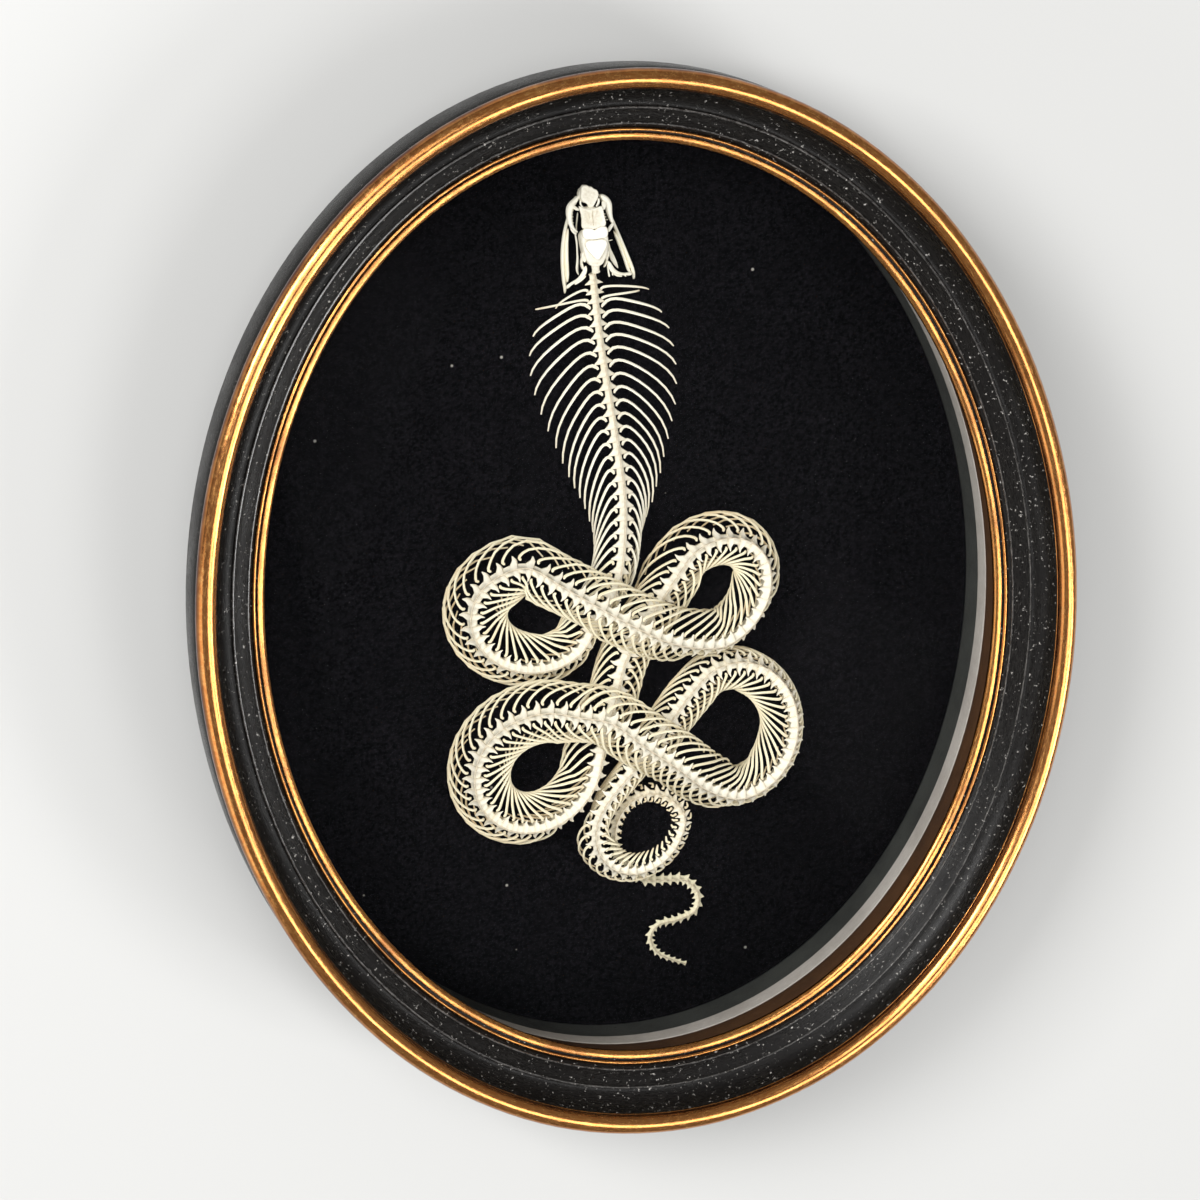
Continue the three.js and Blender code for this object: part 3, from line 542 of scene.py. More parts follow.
# Smooth curve through points, read at t from 0 to 1.
def smoothCurve(points, t):
    points = np.array(points, float)
    ends = np.vstack([2 * points[0] - points[1], points, 2 * points[-1] - points[-2]])
    spot = np.clip(np.asarray(t, float), 0, 1) * (len(points) - 1)
    i = np.minimum(spot.astype(int), len(points) - 2)
    w = (spot - i)[:, None]
    p0, p1, p2, p3 = (ends[i + k] for k in range(4))
    m1, m2 = (p2 - p0) / 2, (p3 - p1) / 2
    return ((2 * p1 - 2 * p2 + m1 + m2) * w ** 3 + (-3 * p1 + 3 * p2 - 2 * m1 - m2) * w ** 2 + m1 * w + p1)


# A table read with its corners rounded off.
def eased(table, s):
    return sum(lookUp(table, np.asarray(s) + d) for d in (-8, -4, 0, 4, 8)) / 5


def unit(vectors):
    return vectors / np.linalg.norm(vectors, axis=-1, keepdims=True)


planPoints = [point for stretch in course for point in bendPoints(stretch)]
planTimes = np.linspace(0, 1, 1601)
planSpots = smoothCurve(planPoints, planTimes)
planLengths = np.concatenate([[0], np.cumsum(np.linalg.norm(np.diff(planSpots, axis=0), axis=1))])
bodyLength = planLengths[-1]


def ridgePoints(s):
    s = np.clip(np.asarray(s, float), 0, bodyLength)
    plan = smoothCurve(planPoints, np.interp(s, planLengths, planTimes))
    return np.column_stack([plan, velvetTop + eased(profiles["ridgeHeight"], s)])


# The body's own directions at even steps: along it, up out of its back and to its left.
trailStep = 0.25
trailAt = np.arange(-4, bodyLength + 30, trailStep)
held = np.clip(trailAt, 0.5, bodyLength - 0.5)
trailAlong = unit(ridgePoints(held + 0.5) - ridgePoints(held - 0.5))
overshoot = trailAt - np.clip(trailAt, 0, bodyLength)
trailOrigin = ridgePoints(trailAt) + trailAlong * overshoot[:, None]
upright = unit(np.array([0, 0, 1.0]) - trailAlong * trailAlong[:, 2:3])
rollAngle = -np.radians(eased(profiles["roll"], held))[:, None]
trailUp = upright * np.cos(rollAngle) + np.cross(trailAlong, upright) * np.sin(rollAngle)
trailLeft = np.cross(trailUp, trailAlong)


def trail(values, s):
    spot = np.clip((np.asarray(s, float) - trailAt[0]) / trailStep, 0, len(trailAt) - 1.001)
    i = spot.astype(int)
    w = (spot - i)[..., None]
    return values[i] * (1 - w) + values[i + 1] * w


def placeOnBody(s, sideways, up):
    return (trail(trailOrigin, s) + trail(trailLeft, s) * np.asarray(sideways)[..., None]
            + trail(trailUp, s) * np.asarray(up)[..., None])


stations = [0.0]
while stations[-1] + lookUp(profiles["pitch"], stations[-1]) < bodyLength:
    stations.append(stations[-1] + lookUp(profiles["pitch"], stations[-1]))


def nearestJoint(s):
    return min(stations, key=lambda joint: abs(joint - s))


bodyLengths = [(name, nearestJoint(start), nearestJoint(end)) for name, start, end in bodyLengths]
tailLengths = [(name, nearestJoint(start), nearestJoint(end)) for name, start, end in tailLengths]
print("body", round(bodyLength), "mm long,", len(stations), "vertebrae")


vertebra = {
    # Half section from the ridge round to the foot: sideways, up.
    "section": [(0.2, 0.0), (0.34, -0.5), (2.25, -1.35), (2.68, -1.75), (1.5, -2.7), (0.8, -3.5)],
    # Rings from the head end: place along the pitch, width, lift of the roof, lift of the ridge.
    "rings": [(-0.02, 0.58, -0.34, -0.3), (0.16, 0.50, -0.10, -0.05), (0.60, 0.54, 0.0, 0.0),
              (0.86, 1.0, 0.06, 0.0), (1.12, 0.94, 0.16, -0.1)],
    "spurReach": (1.15, -0.12, 0.02), "spurTip": (0.2, 0.3),
    "stain": {"crown": 0.75, "ends": 0.35, "spur": 0.15},
    "width": [(0, 0.70), (50, 0.76), (80, 0.86), (112, 1.0), (560, 1.02), (620, 0.88), (660, 0.76),
              (700, 0.66), (740, 0.56), (762, 0.44), (774, 0.26), (782, 0.05)],
    "height": [(0, 0.8), (80, 0.95), (112, 1.0), (560, 1.0), (640, 0.85), (700, 0.66), (740, 0.52),
               (762, 0.40), (774, 0.26), (782, 0.08)],
    "spurLean": [(0, 0.3), (85, 0.2), (112, -0.35), (600, -0.35), (700, 0.2), (778, 0.4)],
    "leanFrom": 2.9, "leanSpan": 0.8, "unevenSize": 0.03,
    # Tail vertebrae are rounder, with short spurs.
    "blunt": [(690, 0), (725, 1)], "waist": (0.4, 1.9), "bluntWaist": 0.15, "spurFrom": 2.4, "bluntSpur": 0.3,
}


def newBones():
    bm = bmesh.new()
    bm.verts.layers.float.new("stain")
    return bm


def makeVertebraShape():
    bm = newBones()
    stain = bm.verts.layers.float["stain"]
    half, stains = vertebra["section"], vertebra["stain"]
    outline = [(-x, z) for x, z in half] + [(x, z) for x, z in reversed(half)]
    made = bmesh.ops.create_circle(bm, cap_ends=True, segments=len(outline), radius=1)
    last = sorted(made["verts"], key=lambda v: math.atan2(v.co.y, v.co.x))
    for vert, (x, z) in zip(last, outline):
        vert.co = (x, z, vertebra["rings"][0][0])
    rings = [last]
    for place, _, _, _ in vertebra["rings"][1:]:
        face = next(f for f in bm.faces if set(f.verts) == set(last))
        fresh = extrudeFaces(bm, [face])
        for vert in fresh:
            vert.co.z = place
        last = [min(fresh, key=lambda v, o=old: (v.co.xy - o.co.xy).length) for old in last]
        rings.append(last)
    spurMiddle = (half[2][0] + half[3][0]) / 2
    spurFaces = []
    for face in bm.faces:
        middle = face.calc_center_median()
        inRing = vertebra["rings"][3][0] < middle.z < vertebra["rings"][4][0]
        if inRing and abs(abs(middle.x) - spurMiddle) < 0.05:
            spurFaces.append(face)
    for ring, (_, width, drop, ridge) in zip(rings, vertebra["rings"]):
        for vert in ring:
            crown = vert.co.y > -0.1
            atEnd = ring is rings[0] or ring is rings[-1]
            vert[stain] = stains["crown"] if crown else (stains["ends"] if atEnd else 0.0)
            vert.co.x *= 1.0 if crown else width
            vert.co.y += ridge if crown else drop
    for face in bmesh.ops.extrude_discrete_faces(bm, faces=spurFaces)["faces"]:
        middle = face.calc_center_median()
        outward, down, back = vertebra["spurReach"]
        for vert in face.verts:
            offset = vert.co - middle
            offset.xy *= vertebra["spurTip"][1]
            offset.z *= vertebra["spurTip"][0]
            vert.co = middle + offset + Vector((math.copysign(outward, middle.x), down, back))
            vert[stain] = stains["spur"]
    outwards(bm)
    return toMesh("vertebra_shape", bm)


vertebraShape = makeVertebraShape()
print("vertebra of", len(vertebraShape.polygons), "faces")


# Adds one copy of a shape and returns its new vertices with their places.
def addCopy(bm, shape):
    before = len(bm.verts)
    bm.from_mesh(shape)
    bm.verts.ensure_lookup_table()
    return bm.verts[before:], np.array([v.co[:] for v in bm.verts[before:]])


def addVertebra(bm, s):
    pitch = lookUp(profiles["pitch"], s)
    width, height = lookUp(vertebra["width"], s), lookUp(vertebra["height"], s)
    size = chance.uniform(1 - vertebra["unevenSize"], 1 + vertebra["unevenSize"])
    fresh, local = addCopy(bm, vertebraShape)
    blunt = lookUp(vertebra["blunt"], s)
    broad = np.abs(local[:, 0])
    (narrow, wide), spurFrom = vertebra["waist"], vertebra["spurFrom"]
    broad = np.where((broad > narrow) & (broad < wide), broad * (1 + vertebra["bluntWaist"] * blunt), broad)
    shorter = spurFrom + (broad - spurFrom) * (1 - vertebra["bluntSpur"] * blunt)
    broad = np.where(broad > spurFrom, shorter, broad)
    local[:, 0] = np.sign(local[:, 0]) * broad
    reach = np.clip((broad - vertebra["leanFrom"]) / vertebra["leanSpan"], 0, 1)
    at = s + local[:, 2] * pitch + reach * lookUp(vertebra["spurLean"], s)
    spots = placeOnBody(at, local[:, 0] * width * size, local[:, 1] * height)
    for vert, spot in zip(fresh, spots):
        vert.co = spot


def makeSpine(name, start, end, material, nodes):
    bm = bmesh.new()
    for s in stations:
        if start <= s < end:
            addVertebra(bm, s)
    finishPiece(name + "_spine", bm, material, nodes, sharp=50)


for name, start, end in bodyLengths:
    makeSpine(name, start, end, spineBone, [name + "_left", name + "_right"])
for name, start, end in tailLengths:
    makeSpine(name, start, end, tailBone, [name])
print("vertebrae made")


# A straight bar with even rings, bent later along a rib or a slender skull bone.
def makeBarShape(name, sides, rings):
    bm = newBones()
    bmesh.ops.create_cone(bm, cap_ends=True, segments=sides, radius1=1, radius2=1, depth=1,
                          matrix=Matrix.Translation((0, 0, 0.5)))
    for i in range(1, rings):
        bmesh.ops.bisect_plane(bm, geom=bm.verts[:] + bm.edges[:] + bm.faces[:], plane_co=(0, 0, i / rings),
                               plane_no=(0, 0, 1))
    outwards(bm)
    return toMesh(name, bm)


def addBar(bm, shape, rings, spots, out, wide, high, stains):
    fresh, local = addCopy(bm, shape)
    level = np.rint(local[:, 2] * rings).astype(int)
    ahead = unit(np.gradient(spots, axis=0))
    across = unit(np.cross(ahead, out))
    lift = unit(np.cross(across, ahead))
    places = (spots[level] + across[level] * (local[:, 0] * wide[level])[:, None]
              + lift[level] * (local[:, 1] * high[level])[:, None])
    layer = bm.verts.layers.float.get("stain")
    for vert, place, i in zip(fresh, places, level):
        vert.co = place
        vert[layer] = stains[i]


rib = {"rootSide": 2.4, "rootDrop": -1.4, "rootDip": 0.35, "headSide": 2.3, "sides": 5, "rings": 12,
       "first": 2, "last": 706, "offset": 0.8, "knob": [1.25, 0.75, 0.2, 0.0], "sweepPower": 1.25,
       "riseShare": 0.15, "bendReach": 0.25, "bendSpan": 6, "unevenSweep": 0.3, "unevenArc": 2.5,
       "pinchBlend": 8,
       "radius": [(600, 0.38), (700, 0.323)], "flatness": 0.9, "unevenStain": 0.12,
       "stain": [(0, 0.15), (0.1, 0.08), (0.5, 0.0), (1, 0.35)],
       # Share of the way along a rib, and how thick it is there.
       "thickness": [(0, 0.7), (0.006, 1.05), (0.025, 1.3), (0.06, 1.25), (0.11, 1.05), (0.17, 1.0),
                     (0.25, 1.0), (0.35, 1.0), (0.47, 0.98), (0.6, 0.94), (0.74, 0.88), (0.88, 0.8),
                     (1.0, 0.55)]}
# The first two pairs are thin and cross each other: width, sweep, depth.
oddRibs = {(0, 1): (15.6, 2.6, 0.4), (0, -1): (11.4, 3.6, 0.4), (1, 1): (13.0, 0.3, 3.2),
           (1, -1): (16.8, 0.2, 3.2)}
oddRib = {"thin": 0.8, "shift": 0.9, "rise": 0.2, "stain": 0.3}
ribShape = makeBarShape("rib_shape", rib["sides"], rib["rings"])


# Smooth step from 0 to 1 round one place on the body.
def stepAt(s, place):
    t = np.clip((s - place) / rib["pinchBlend"] + 0.5, 0, 1)
    return t * t * (3 - 2 * t)


def pinchAt(s, side):
    return sum(by * (stepAt(s, start) - stepAt(s, end)) for start, end, pinchSide, by in pinches
               if pinchSide == side)


# How sharply the body bends in plan, positive towards its left.
def bendAt(s):
    before, after = trail(trailAlong, [s - rib["bendSpan"], s + rib["bendSpan"]])
    return (before[0] * after[1] - before[1] * after[0]) / (2 * rib["bendSpan"])


# One rib: out from its knob, round the cage and swept back towards the tail.
def addRib(bm, s, side, number):
    fullWidth = lookUp(profiles["cageHalfWidth"], s)
    halfWidth = fullWidth - pinchAt(s, side)
    depth = lookUp(profiles["cageDepth"], s)
    sweep = lookUp(profiles["sweep"], s) * (1 + rib["bendReach"] * bendAt(s) * fullWidth * side)
    uneven = chance.uniform(-1, 1)
    arc = math.radians(lookUp(profiles["arc"], s) + rib["unevenArc"] * chance.uniform(-1, 1))
    radius = lookUp(rib["radius"], s)
    odd = (number, side) in oddRibs
    if odd:
        halfWidth, sweep, depth = oddRibs[number, side]
        radius *= oddRib["thin"]
        s += oddRib["shift"]
    share, thickness = np.array(rib["thickness"]).T
    first = math.asin(min(0.9, rib["rootSide"] / halfWidth))
    inner = math.asin(min(0.85, rib["headSide"] * lookUp(vertebra["width"], s) / halfWidth))
    angle = inner + (arc - inner) * share
    past = np.clip((angle - first) / (arc - first), 0, 1)  # share of the way past the root
    swell = past / rib["riseShare"]
    rise = lookUp(profiles["rise"], s) * swell * np.exp(1 - swell) * (oddRib["rise"] if odd else 1.0)
    sideways = side * halfWidth * np.sin(angle)
    up = rib["rootDrop"] - rib["rootDip"] * (1 - past) ** 6 - depth / 2 * (1 - np.cos(angle))
    at = s + sweep * past ** rib["sweepPower"] - rise + rib["unevenSweep"] * uneven * past
    knob = lookUp(profiles["knobSize"], s)
    at[:4] += np.array(rib["knob"]) * lookUp(vertebra["height"], s) * knob
    spots = placeOnBody(at, sideways, up)
    out = trail(trailLeft, at) * (side * np.sin(angle))[:, None] + trail(trailUp, at) * np.cos(angle)[:, None]
    thick = radius * (1 + (thickness - 1) * np.where(share < 0.2, knob, 1))
    stains = lookUp(rib["stain"], share) + rib["unevenStain"] * max(0, uneven)
    if odd:
        stains = stains + oddRib["stain"] * share
    addBar(bm, ribShape, rib["rings"], spots, out, thick, thick * rib["flatness"], stains)


ribbed = [s for s in stations if s >= rib["first"]]
for name, start, end in bodyLengths:
    for side, word in ((1, "left"), (-1, "right")):
        bm = newBones()
        for number, s in enumerate(ribbed):
            if start <= s < min(end, rib["last"]):
                addRib(bm, s + rib["offset"], side, number)
        bmesh.ops.recalc_face_normals(bm, faces=bm.faces)
        material = hoodBone if name == "neck_hood" else ribBone
        finishPiece(name + "_ribs_" + word, bm, material, [name + "_" + word], sharp=60)
print("ribs made")


skull = {"place": (5.8, 88.2, velvetTop), "turn": -4, "levels": 1, "barRings": 12, "barEnd": 0.55,
         "edgeStain": 0.4, "underStain": 0.5, "tipStain": 0.35}
skullPlace = Matrix.Translation(skull["place"]) @ Matrix.Rotation(math.radians(skull["turn"]), 4, "Z")


def finishSkullPiece(name, bm, node):
    bmesh.ops.transform(bm, matrix=skullPlace, verts=bm.verts)
    finishPiece(name, bm, skullBone, [node], subdivide=skull["levels"], sharp=80)


# Plate of bone with the given outline seen from above, its middle dished by a given amount and darkened in
# colour by another.
def addPlate(bm, outline, top, drop, depth, dish=0.0, middleDarkening=0.03):
    stain = bm.verts.layers.float["stain"]
    before = set(bm.faces)
    corners = [bm.verts.new((x, y, top - drop)) for x, y in outline]
    face = bm.faces.new(corners)
    face.normal_update()
    if face.normal.z < 0:
        face.normal_flip()
    for vert in corners:
        vert[stain] = skull["edgeStain"]
    for share, height, tone in ((0.07, top, middleDarkening * 0.4), (0.4, top - dish, middleDarkening)):
        middle = face.calc_center_median()
        bmesh.ops.inset_individual(bm, faces=[face], thickness=0.001)
        for vert in face.verts:
            vert.co = middle + (vert.co - middle) * (1 - share)
            vert.co.z = height
            vert[stain] = tone
    for vert in extrudeFaces(bm, [f for f in bm.faces if f not in before]):
        vert.co.z = top - drop - depth
        vert[stain] = skull["underStain"]


skullBar = makeBarShape("skull_bar", 8, skull["barRings"])


# Slender bone through stations (x, y, z, half width, half height).
def addSlender(bm, stations, stain=0.1):
    table = smoothCurve(stations, np.linspace(0, 1, skull["barRings"] + 1))
    table[[0, -1], 3:] *= skull["barEnd"]
    stains = np.full(len(table), stain)
    stains[[0, -1]] += skull["tipStain"]
    up = np.tile([0, 0, 1.0], (len(table), 1))
    addBar(bm, skullBar, skull["barRings"], table[:, :3], up, table[:, 3], table[:, 4], stains)


def makeSlenderPair(pieceName, nodeName, pair, stain):
    for word, bars in pair.items():
        bm = newBones()
        for bar in bars:
            addSlender(bm, bar, stain)
        finishSkullPiece(pieceName + "_" + word, bm, nodeName + "_" + word)


# Roof of the braincase, notched in front and heart-shaped behind, with its sides and the joint with the neck.
bm = newBones()
addPlate(bm, [(-2.9, 12.0), (-1.2, 12.1), (0.2, 11.8), (0.85, 11.0), (1.5, 11.8), (2.8, 12.0), (4.2, 12.1),
              (4.7, 10.4), (4.2, 8.7), (2.6, 8.95), (0.9, 8.6), (-0.9, 9.0), (-2.7, 8.9)], 8.5, 0.12, 0.8)
addPlate(bm, [(-2.2, 8.5), (-0.6, 8.9), (0.9, 8.5), (2.5, 8.85), (4.1, 8.3), (4.1, 7.0), (3.3, 5.6),
              (2.2, 4.0), (1.1, 2.6), (0.0, 4.0), (-1.2, 5.6), (-2.2, 7.0)], 8.65, 0.15, 0.9)
addPlate(bm, [(-2.3, 6.6), (4.2, 6.6), (3.9, 4.4), (3.4, 2.6), (2.7, 1.6), (1.6, 1.2), (0.3, 1.2),
              (-0.8, 1.6), (-1.5, 2.6), (-2.1, 4.4)], 7.7, 0.35, 2.2, dish=0.15, middleDarkening=0.6)
addPlate(bm, [(-2.9, 10.9), (0.8, 11.6), (4.6, 10.9), (4.9, 8.4), (4.5, 5.4), (3.8, 2.8), (2.8, 1.9),
              (-0.9, 1.9), (-1.9, 2.9), (-2.5, 5.6), (-2.9, 8.8)], 7.9, 0.7, 3.4, middleDarkening=0.5)
addPlate(bm, [(-2.6, 5.6), (-1.9, 5.4), (-1.5, 3.6), (-1.9, 2.2), (-2.6, 3.0), (-3.0, 4.4)], 7.0, 0.3, 1.2,
         middleDarkening=0.5)
addPlate(bm, [(4.5, 5.6), (3.8, 5.4), (3.5, 3.6), (3.9, 2.2), (4.6, 3.0), (5.0, 4.4)], 7.0, 0.3, 1.2,
         middleDarkening=0.5)
addSlender(bm, [(0.9, 2.0, 6.4, 1.5, 0.9), (0.9, 0.9, 6.4, 1.2, 0.9), (0.95, 0.0, 6.3, 1.15, 0.9),
                (1.0, -0.8, 6.2, 1.5, 0.9)], 0.45)
addSlender(bm, [(-2.4, 4.8, 6.6, 0.3, 0.5), (-2.8, 3.0, 6.0, 0.35, 0.7), (-2.5, 1.2, 5.6, 0.45, 0.7),
                (-1.9, 0.2, 5.6, 0.3, 0.5)], 0.3)
addSlender(bm, [(4.1, 5.0, 6.6, 0.3, 0.5), (4.4, 3.2, 6.0, 0.35, 0.7), (4.0, 1.4, 5.6, 0.35, 0.7),
                (3.4, 0.4, 5.6, 0.25, 0.5)], 0.3)
finishSkullPiece("skull_roof_and_braincase", bm, "skull_braincase")

# Paired dished frontals with the seam between them, on a bridge down to the palate.
bm = newBones()
# The frontals' darker middles are partly stain and partly painted shade in the dish.
addPlate(bm, [(0.6, 16.9), (-0.9, 17.0), (-2.1, 17.5), (-3.2, 18.5), (-2.9, 17.0), (-2.4, 15.4), (-2.5, 13.6),
              (-2.8, 11.8), (-1.0, 11.7), (0.7, 11.3), (2.5, 11.7), (4.4, 11.8), (4.1, 13.6), (3.7, 15.6),
              (3.6, 17.8), (2.2, 17.1)], 8.15, 0.15, 0.7, dish=0.55, middleDarkening=0.55)
addSlender(bm, [(0.6, 16.6, 7.9, 0.12, 0.16), (0.62, 14.6, 7.7, 0.11, 0.14), (0.65, 12.4, 7.9, 0.12, 0.16)],
           0.95)
addSlender(bm, [(-0.6, 16.2, 7.9, 0.1, 0.1), (-0.3, 15.0, 7.7, 0.1, 0.1), (-0.5, 13.8, 7.7, 0.08, 0.1)], 0.6)
addSlender(bm, [(1.9, 16.2, 7.9, 0.1, 0.1), (1.6, 15.0, 7.7, 0.1, 0.1), (1.7, 13.8, 7.7, 0.08, 0.1)], 0.5)
addPlate(bm, [(-1.9, 17.2), (0.5, 17.4), (2.9, 17.2), (3.4, 12.2), (0.8, 11.5), (-2.0, 12.2)], 7.5, 0.3, 2.8)
finishSkullPiece("skull_frontal_pair", bm, "skull_frontals")

# Kite-shaped nose plate with its ragged front, the bone below it and the rims of the nostrils.
bm = newBones()
addPlate(bm, [(-1.9, 22.9), (-1.2, 23.5), (-0.7, 23.2), (-0.2, 23.4), (0.5, 22.6), (1.1, 22.9), (1.6, 21.9),
              (2.5, 21.9), (3.0, 20.7), (2.8, 19.6), (2.0, 18.5), (1.4, 17.5), (0.8, 16.7), (0.1, 17.6),
              (-0.9, 18.6), (-1.8, 19.1), (-2.3, 20.0), (-1.9, 21.6)], 7.3, 0.2, 1.2, dish=0.15,
         middleDarkening=0.5)
addPlate(bm, [(-2.2, 22.2), (-0.8, 22.7), (1.4, 22.0), (3.2, 20.8), (3.2, 19.4), (2.0, 17.8), (-1.4, 18.2),
              (-2.7, 19.8)], 6.4, 0.4, 1.9, middleDarkening=0.3)
addSlender(bm, [(-2.1, 19.4, 6.6, 0.28, 0.3), (-2.1, 18.2, 6.4, 0.25, 0.3), (-1.3, 17.2, 6.5, 0.22, 0.3),
                (-0.2, 16.9, 6.6, 0.2, 0.25)])
addSlender(bm, [(-0.3, 18.3, 6.6, 0.25, 0.3), (0.1, 17.5, 6.6, 0.2, 0.3), (0.5, 16.9, 6.8, 0.2, 0.3)])
addSlender(bm, [(2.9, 19.4, 6.6, 0.3, 0.35), (2.8, 18.2, 6.6, 0.35, 0.3), (2.0, 17.1, 6.9, 0.3, 0.3)])
finishSkullPiece("skull_nose_plate", bm, "skull_snout")

maxillae = {
    "left": {
        "arc": [(-1.9, 20.6, 5.4, 0.35, 0.8), (-3.3, 19.2, 5.4, 0.8, 1.0), (-4.8, 17.6, 5.4, 1.15, 1.1),
                (-5.1, 15.4, 5.2, 0.95, 1.0), (-4.9, 13.2, 5.2, 0.75, 0.8), (-4.2, 11.6, 5.6, 0.45, 0.6),
                (-3.2, 10.7, 6.0, 0.4, 0.5)],
        "web": [(-4.3, 18.0, 5.8, 0.5, 0.5), (-3.4, 17.2, 6.2, 0.5, 0.5), (-2.6, 16.8, 6.8, 0.3, 0.4)],
        "rear": [(-5.0, 12.6, 5.0, 0.25, 0.3), (-4.4, 11.0, 5.0, 0.3, 0.3), (-3.4, 10.0, 5.2, 0.3, 0.3)],
        "teeth": [(-4.0, 16.4), (-4.2, 15.6), (-4.15, 14.8), (-4.3, 14.0), (-4.15, 13.2), (-4.2, 12.4)],
        "inward": 1},
    "right": {
        "arc": [(3.5, 20.1, 5.4, 0.4, 0.8), (4.8, 19.0, 5.6, 0.95, 1.0), (5.6, 17.4, 5.6, 1.25, 1.1),
                (5.9, 15.4, 5.4, 0.95, 1.0), (6.3, 13.4, 5.2, 0.65, 0.8), (6.9, 11.8, 5.2, 0.45, 0.6)],
        "web": [(4.6, 18.2, 6.2, 0.9, 0.5), (4.2, 17.2, 6.8, 0.7, 0.5), (3.8, 16.2, 7.2, 0.4, 0.4)],
        "rear": [(6.9, 12.0, 5.4, 0.4, 0.4), (5.8, 11.0, 6.0, 0.55, 0.4), (4.9, 10.2, 6.6, 0.5, 0.4)],
        "teeth": [(5.0, 14.6), (5.2, 13.8), (5.6, 13.0)], "inward": -1},
}
for word, shape in maxillae.items():
    bm = newBones()
    for key in ("arc", "web", "rear"):
        addSlender(bm, shape[key])
    for x, y in shape["teeth"]:
        addSlender(bm, [(x, y, 4.9, 0.22, 0.22), (x + 0.3 * shape["inward"], y - 0.05, 4.4, 0.16, 0.16),
                        (x + 0.5 * shape["inward"], y - 0.2, 3.8, 0.05, 0.05)])
    finishSkullPiece("maxilla_toothed_" + word, bm, "maxilla_" + word)

palate = {
    "left": [[(-2.1, 15.6, 3.2, 0.22, 0.3), (-2.5, 13.4, 3.2, 0.22, 0.3), (-2.8, 11.6, 3.2, 0.2, 0.3),
              (-2.9, 9.6, 3.0, 0.25, 0.3)],
             [(-3.3, 10.2, 3.4, 0.3, 0.3), (-2.9, 7.6, 3.2, 0.3, 0.35), (-2.9, 5.2, 3.0, 0.25, 0.4),
              (-2.9, 2.6, 2.8, 0.35, 0.45), (-3.2, 0.0, 2.6, 0.4, 0.45), (-2.8, -1.6, 2.6, 0.15, 0.3)]],
    "right": [[(4.0, 15.4, 3.2, 0.22, 0.3), (4.4, 12.6, 3.2, 0.25, 0.3), (5.2, 9.0, 3.0, 0.25, 0.3),
               (5.8, 6.4, 3.0, 0.3, 0.3)],
              [(5.6, 7.0, 3.4, 0.35, 0.3), (5.9, 4.8, 3.2, 0.5, 0.3), (6.6, 2.6, 3.0, 0.75, 0.3),
               (7.5, 0.6, 2.8, 0.6, 0.3), (8.3, -1.0, 2.6, 0.12, 0.2)],
              [(5.2, 6.9, 3.6, 0.12, 0.12), (6.0, 7.1, 3.8, 0.14, 0.14), (6.9, 7.2, 3.8, 0.1, 0.1)]],
}
makeSlenderPair("palate_bones", "pterygoid", palate, 0.05)

quadrates = {
    "left": [[(-1.7, 1.6, 6.3, 0.35, 0.4), (-2.2, -0.4, 5.9, 0.75, 0.5), (-3.6, -2.1, 5.1, 0.5, 0.5),
              (-5.4, -3.2, 4.2, 0.42, 0.5), (-6.9, -4.4, 3.7, 0.65, 0.55)],
             [(-1.7, -1.2, 5.6, 0.35, 0.35), (-3.0, -2.4, 5.1, 0.35, 0.4), (-4.6, -3.5, 4.3, 0.3, 0.4)],
             [(-2.9, -1.0, 5.6, 0.2, 0.3), (-3.2, -2.0, 5.2, 0.2, 0.3), (-3.0, -2.9, 5.0, 0.15, 0.2)]],
    "right": [[(4.5, 2.2, 6.3, 0.3, 0.4), (5.2, 0.6, 5.8, 0.7, 0.45), (6.1, -0.9, 5.2, 0.75, 0.5),
               (7.9, -2.0, 4.7, 0.5, 0.5), (9.8, -2.4, 4.2, 0.42, 0.5), (11.8, -2.6, 3.8, 0.7, 0.55)],
              [(4.5, 1.2, 5.6, 0.2, 0.3), (4.8, -0.8, 5.0, 0.25, 0.3), (5.1, -2.6, 4.6, 0.25, 0.3)],
              [(5.6, 0.2, 5.4, 0.3, 0.3), (6.0, -1.3, 4.9, 0.3, 0.3), (6.0, -2.3, 4.6, 0.2, 0.25)],
              [(6.2, -1.6, 4.8, 0.35, 0.3), (7.4, -2.5, 4.4, 0.3, 0.3), (8.8, -2.9, 4.2, 0.2, 0.3)],
              [(9.4, -2.6, 4.2, 0.25, 0.3), (9.9, -3.1, 4.0, 0.2, 0.25)]],
}
makeSlenderPair("quadrate_bar", "quadrate", quadrates, 0.1)

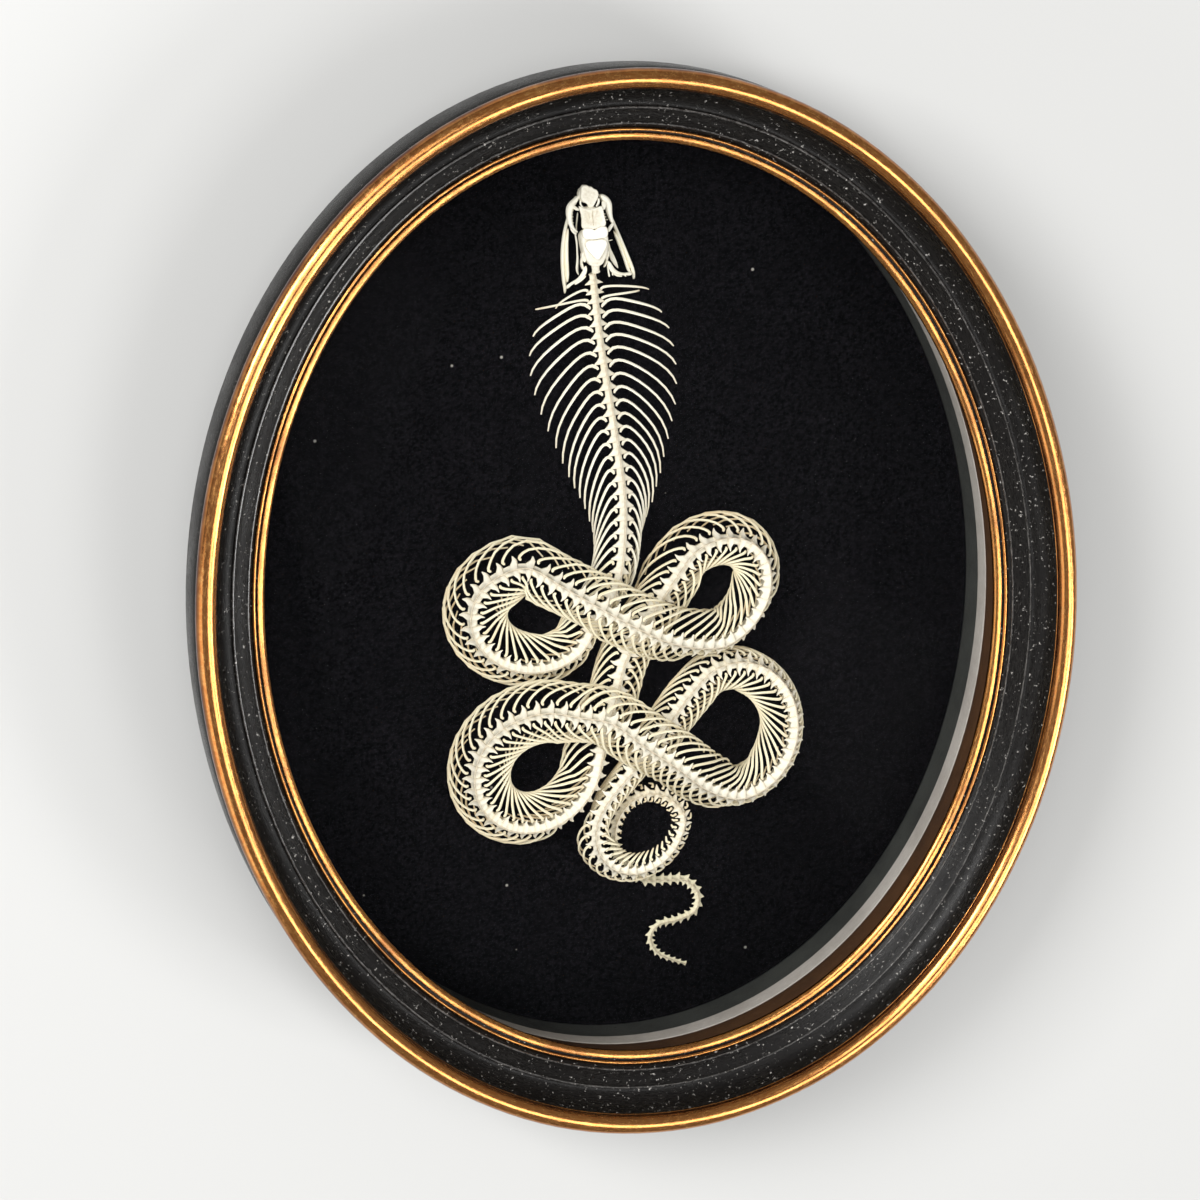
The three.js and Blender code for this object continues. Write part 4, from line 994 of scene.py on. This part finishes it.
# Each lower jaw is a pair of rails with a groove between them, and a knob behind the joint.
jaws = {
    "left": [[(-1.9, 20.0, 1.9, 0.4, 0.5), (-3.9, 15.6, 1.8, 0.45, 0.6), (-5.7, 10.6, 1.8, 0.5, 0.7),
              (-6.7, 5.6, 1.9, 0.5, 0.8), (-7.0, 1.0, 2.0, 0.45, 0.8), (-6.9, -2.6, 2.0, 0.5, 0.8),
              (-6.7, -4.6, 2.1, 0.5, 0.7), (-6.9, -6.2, 2.1, 0.35, 0.45)],
             [(-5.2, 11.0, 1.7, 0.35, 0.5), (-5.9, 7.0, 1.6, 0.55, 0.5), (-6.4, 2.6, 1.6, 0.6, 0.5),
              (-6.3, -1.0, 1.6, 0.5, 0.5), (-6.4, -4.0, 1.7, 0.4, 0.4)],
             [(-4.7, 11.4, 1.9, 0.3, 0.5), (-5.3, 7.6, 1.9, 0.45, 0.7), (-5.7, 3.0, 2.1, 0.5, 0.85),
              (-5.7, -0.6, 2.1, 0.45, 0.8), (-6.0, -3.2, 2.1, 0.4, 0.7)]],
    "right": [[(4.0, 20.0, 1.9, 0.4, 0.5), (6.6, 15.0, 1.8, 0.45, 0.6), (8.3, 10.4, 1.8, 0.5, 0.7),
               (9.9, 6.0, 1.9, 0.5, 0.8), (11.2, 2.2, 2.0, 0.5, 0.8), (12.3, -1.0, 2.0, 0.5, 0.8),
               (12.6, -3.0, 2.1, 0.55, 0.7), (12.6, -4.6, 2.1, 0.35, 0.45)],
              [(8.4, 9.0, 1.7, 0.4, 0.5), (9.6, 5.4, 1.6, 0.5, 0.5), (10.9, 1.6, 1.6, 0.5, 0.5),
               (11.8, -1.6, 1.7, 0.45, 0.5)],
              [(7.8, 9.4, 1.9, 0.3, 0.5), (9.2, 5.2, 1.9, 0.4, 0.7), (10.4, 1.4, 2.1, 0.45, 0.8),
               (11.2, -1.6, 2.1, 0.45, 0.7), (11.8, -2.6, 2.1, 0.3, 0.5)]],
}
makeSlenderPair("lower_jaw", "mandible", jaws, 0.0)
print("skull made")


studio = {"floorSize": 6.0, "floorColour": (0.62, 0.62, 0.61, 1), "worldStrength": 0.26,
          "worldColour": (1.0, 0.99, 0.97, 1),
          "lamps": [("key", (-0.95, 0.70, 1.05), 0.6, 19), ("top", (0.33, -0.42, 1.25), 0.5, 4),
                    ("front", (-0.35, 0.45, 1.30), 0.6, 5), ("side", (-1.35, -0.47, 0.40), 1.0, 5),
                    ("fill", (0.9, -0.7, 0.95), 0.45, 8)]}
view = {"tilt": 23.4, "turn": 129.0, "spin": -7.56, "distance": 1.0, "aim": (0, 0, 0.035), "lens": 112.2,
        "shift": (-0.03425, 0.00958)}

bm = bmesh.new()
bmesh.ops.create_grid(bm, x_segments=2, y_segments=2, size=studio["floorSize"] / 2)
floorMesh = toMesh("floor", bm)
floorMaterial, floorTree, floorShader = newMaterial("floor_paint")
setInputs(floorTree, floorShader, {"Base Color": studio["floorColour"], "Roughness": 0.9})
floorMesh.materials.append(floorMaterial)
floor = addObject("floor", floorMesh)

world = bpy.context.scene.world or bpy.data.worlds.new("studio")
bpy.context.scene.world = world
world.use_nodes = True
setInputs(world.node_tree, world.node_tree.nodes["Background"],
          {"Color": studio["worldColour"], "Strength": studio["worldStrength"]})

target = Vector(view["aim"])
for name, place, size, power in studio["lamps"]:
    lamp = bpy.data.lights.new(name, "AREA")
    lamp.size = size
    lamp.energy = power
    lampObject = addObject(name, lamp)
    lampObject.location = place
    lampObject.rotation_euler = (target - Vector(place)).to_track_quat("-Z", "Y").to_euler()

tilt, turn, spin = (math.radians(view[key]) for key in ("tilt", "turn", "spin"))
toCamera = Vector((math.sin(tilt) * math.cos(turn), math.sin(tilt) * math.sin(turn), math.cos(tilt)))
right = Vector((-math.sin(spin), math.cos(spin), 0)).cross(toCamera).normalized()
upwards = toCamera.cross(right)
camera = bpy.data.cameras.new("camera")
camera.sensor_width = 36
camera.lens = view["lens"]
camera.shift_x, camera.shift_y = view["shift"]
camera.clip_end = 20
cameraObject = addObject("camera", camera)
axes = Matrix((right, upwards, toCamera)).transposed().to_4x4()
cameraObject.matrix_world = Matrix.Translation(target + toCamera * view["distance"]) @ axes
bpy.context.scene.camera = cameraObject
bpy.context.scene.view_settings.view_transform = "Standard"

print("scene ready")
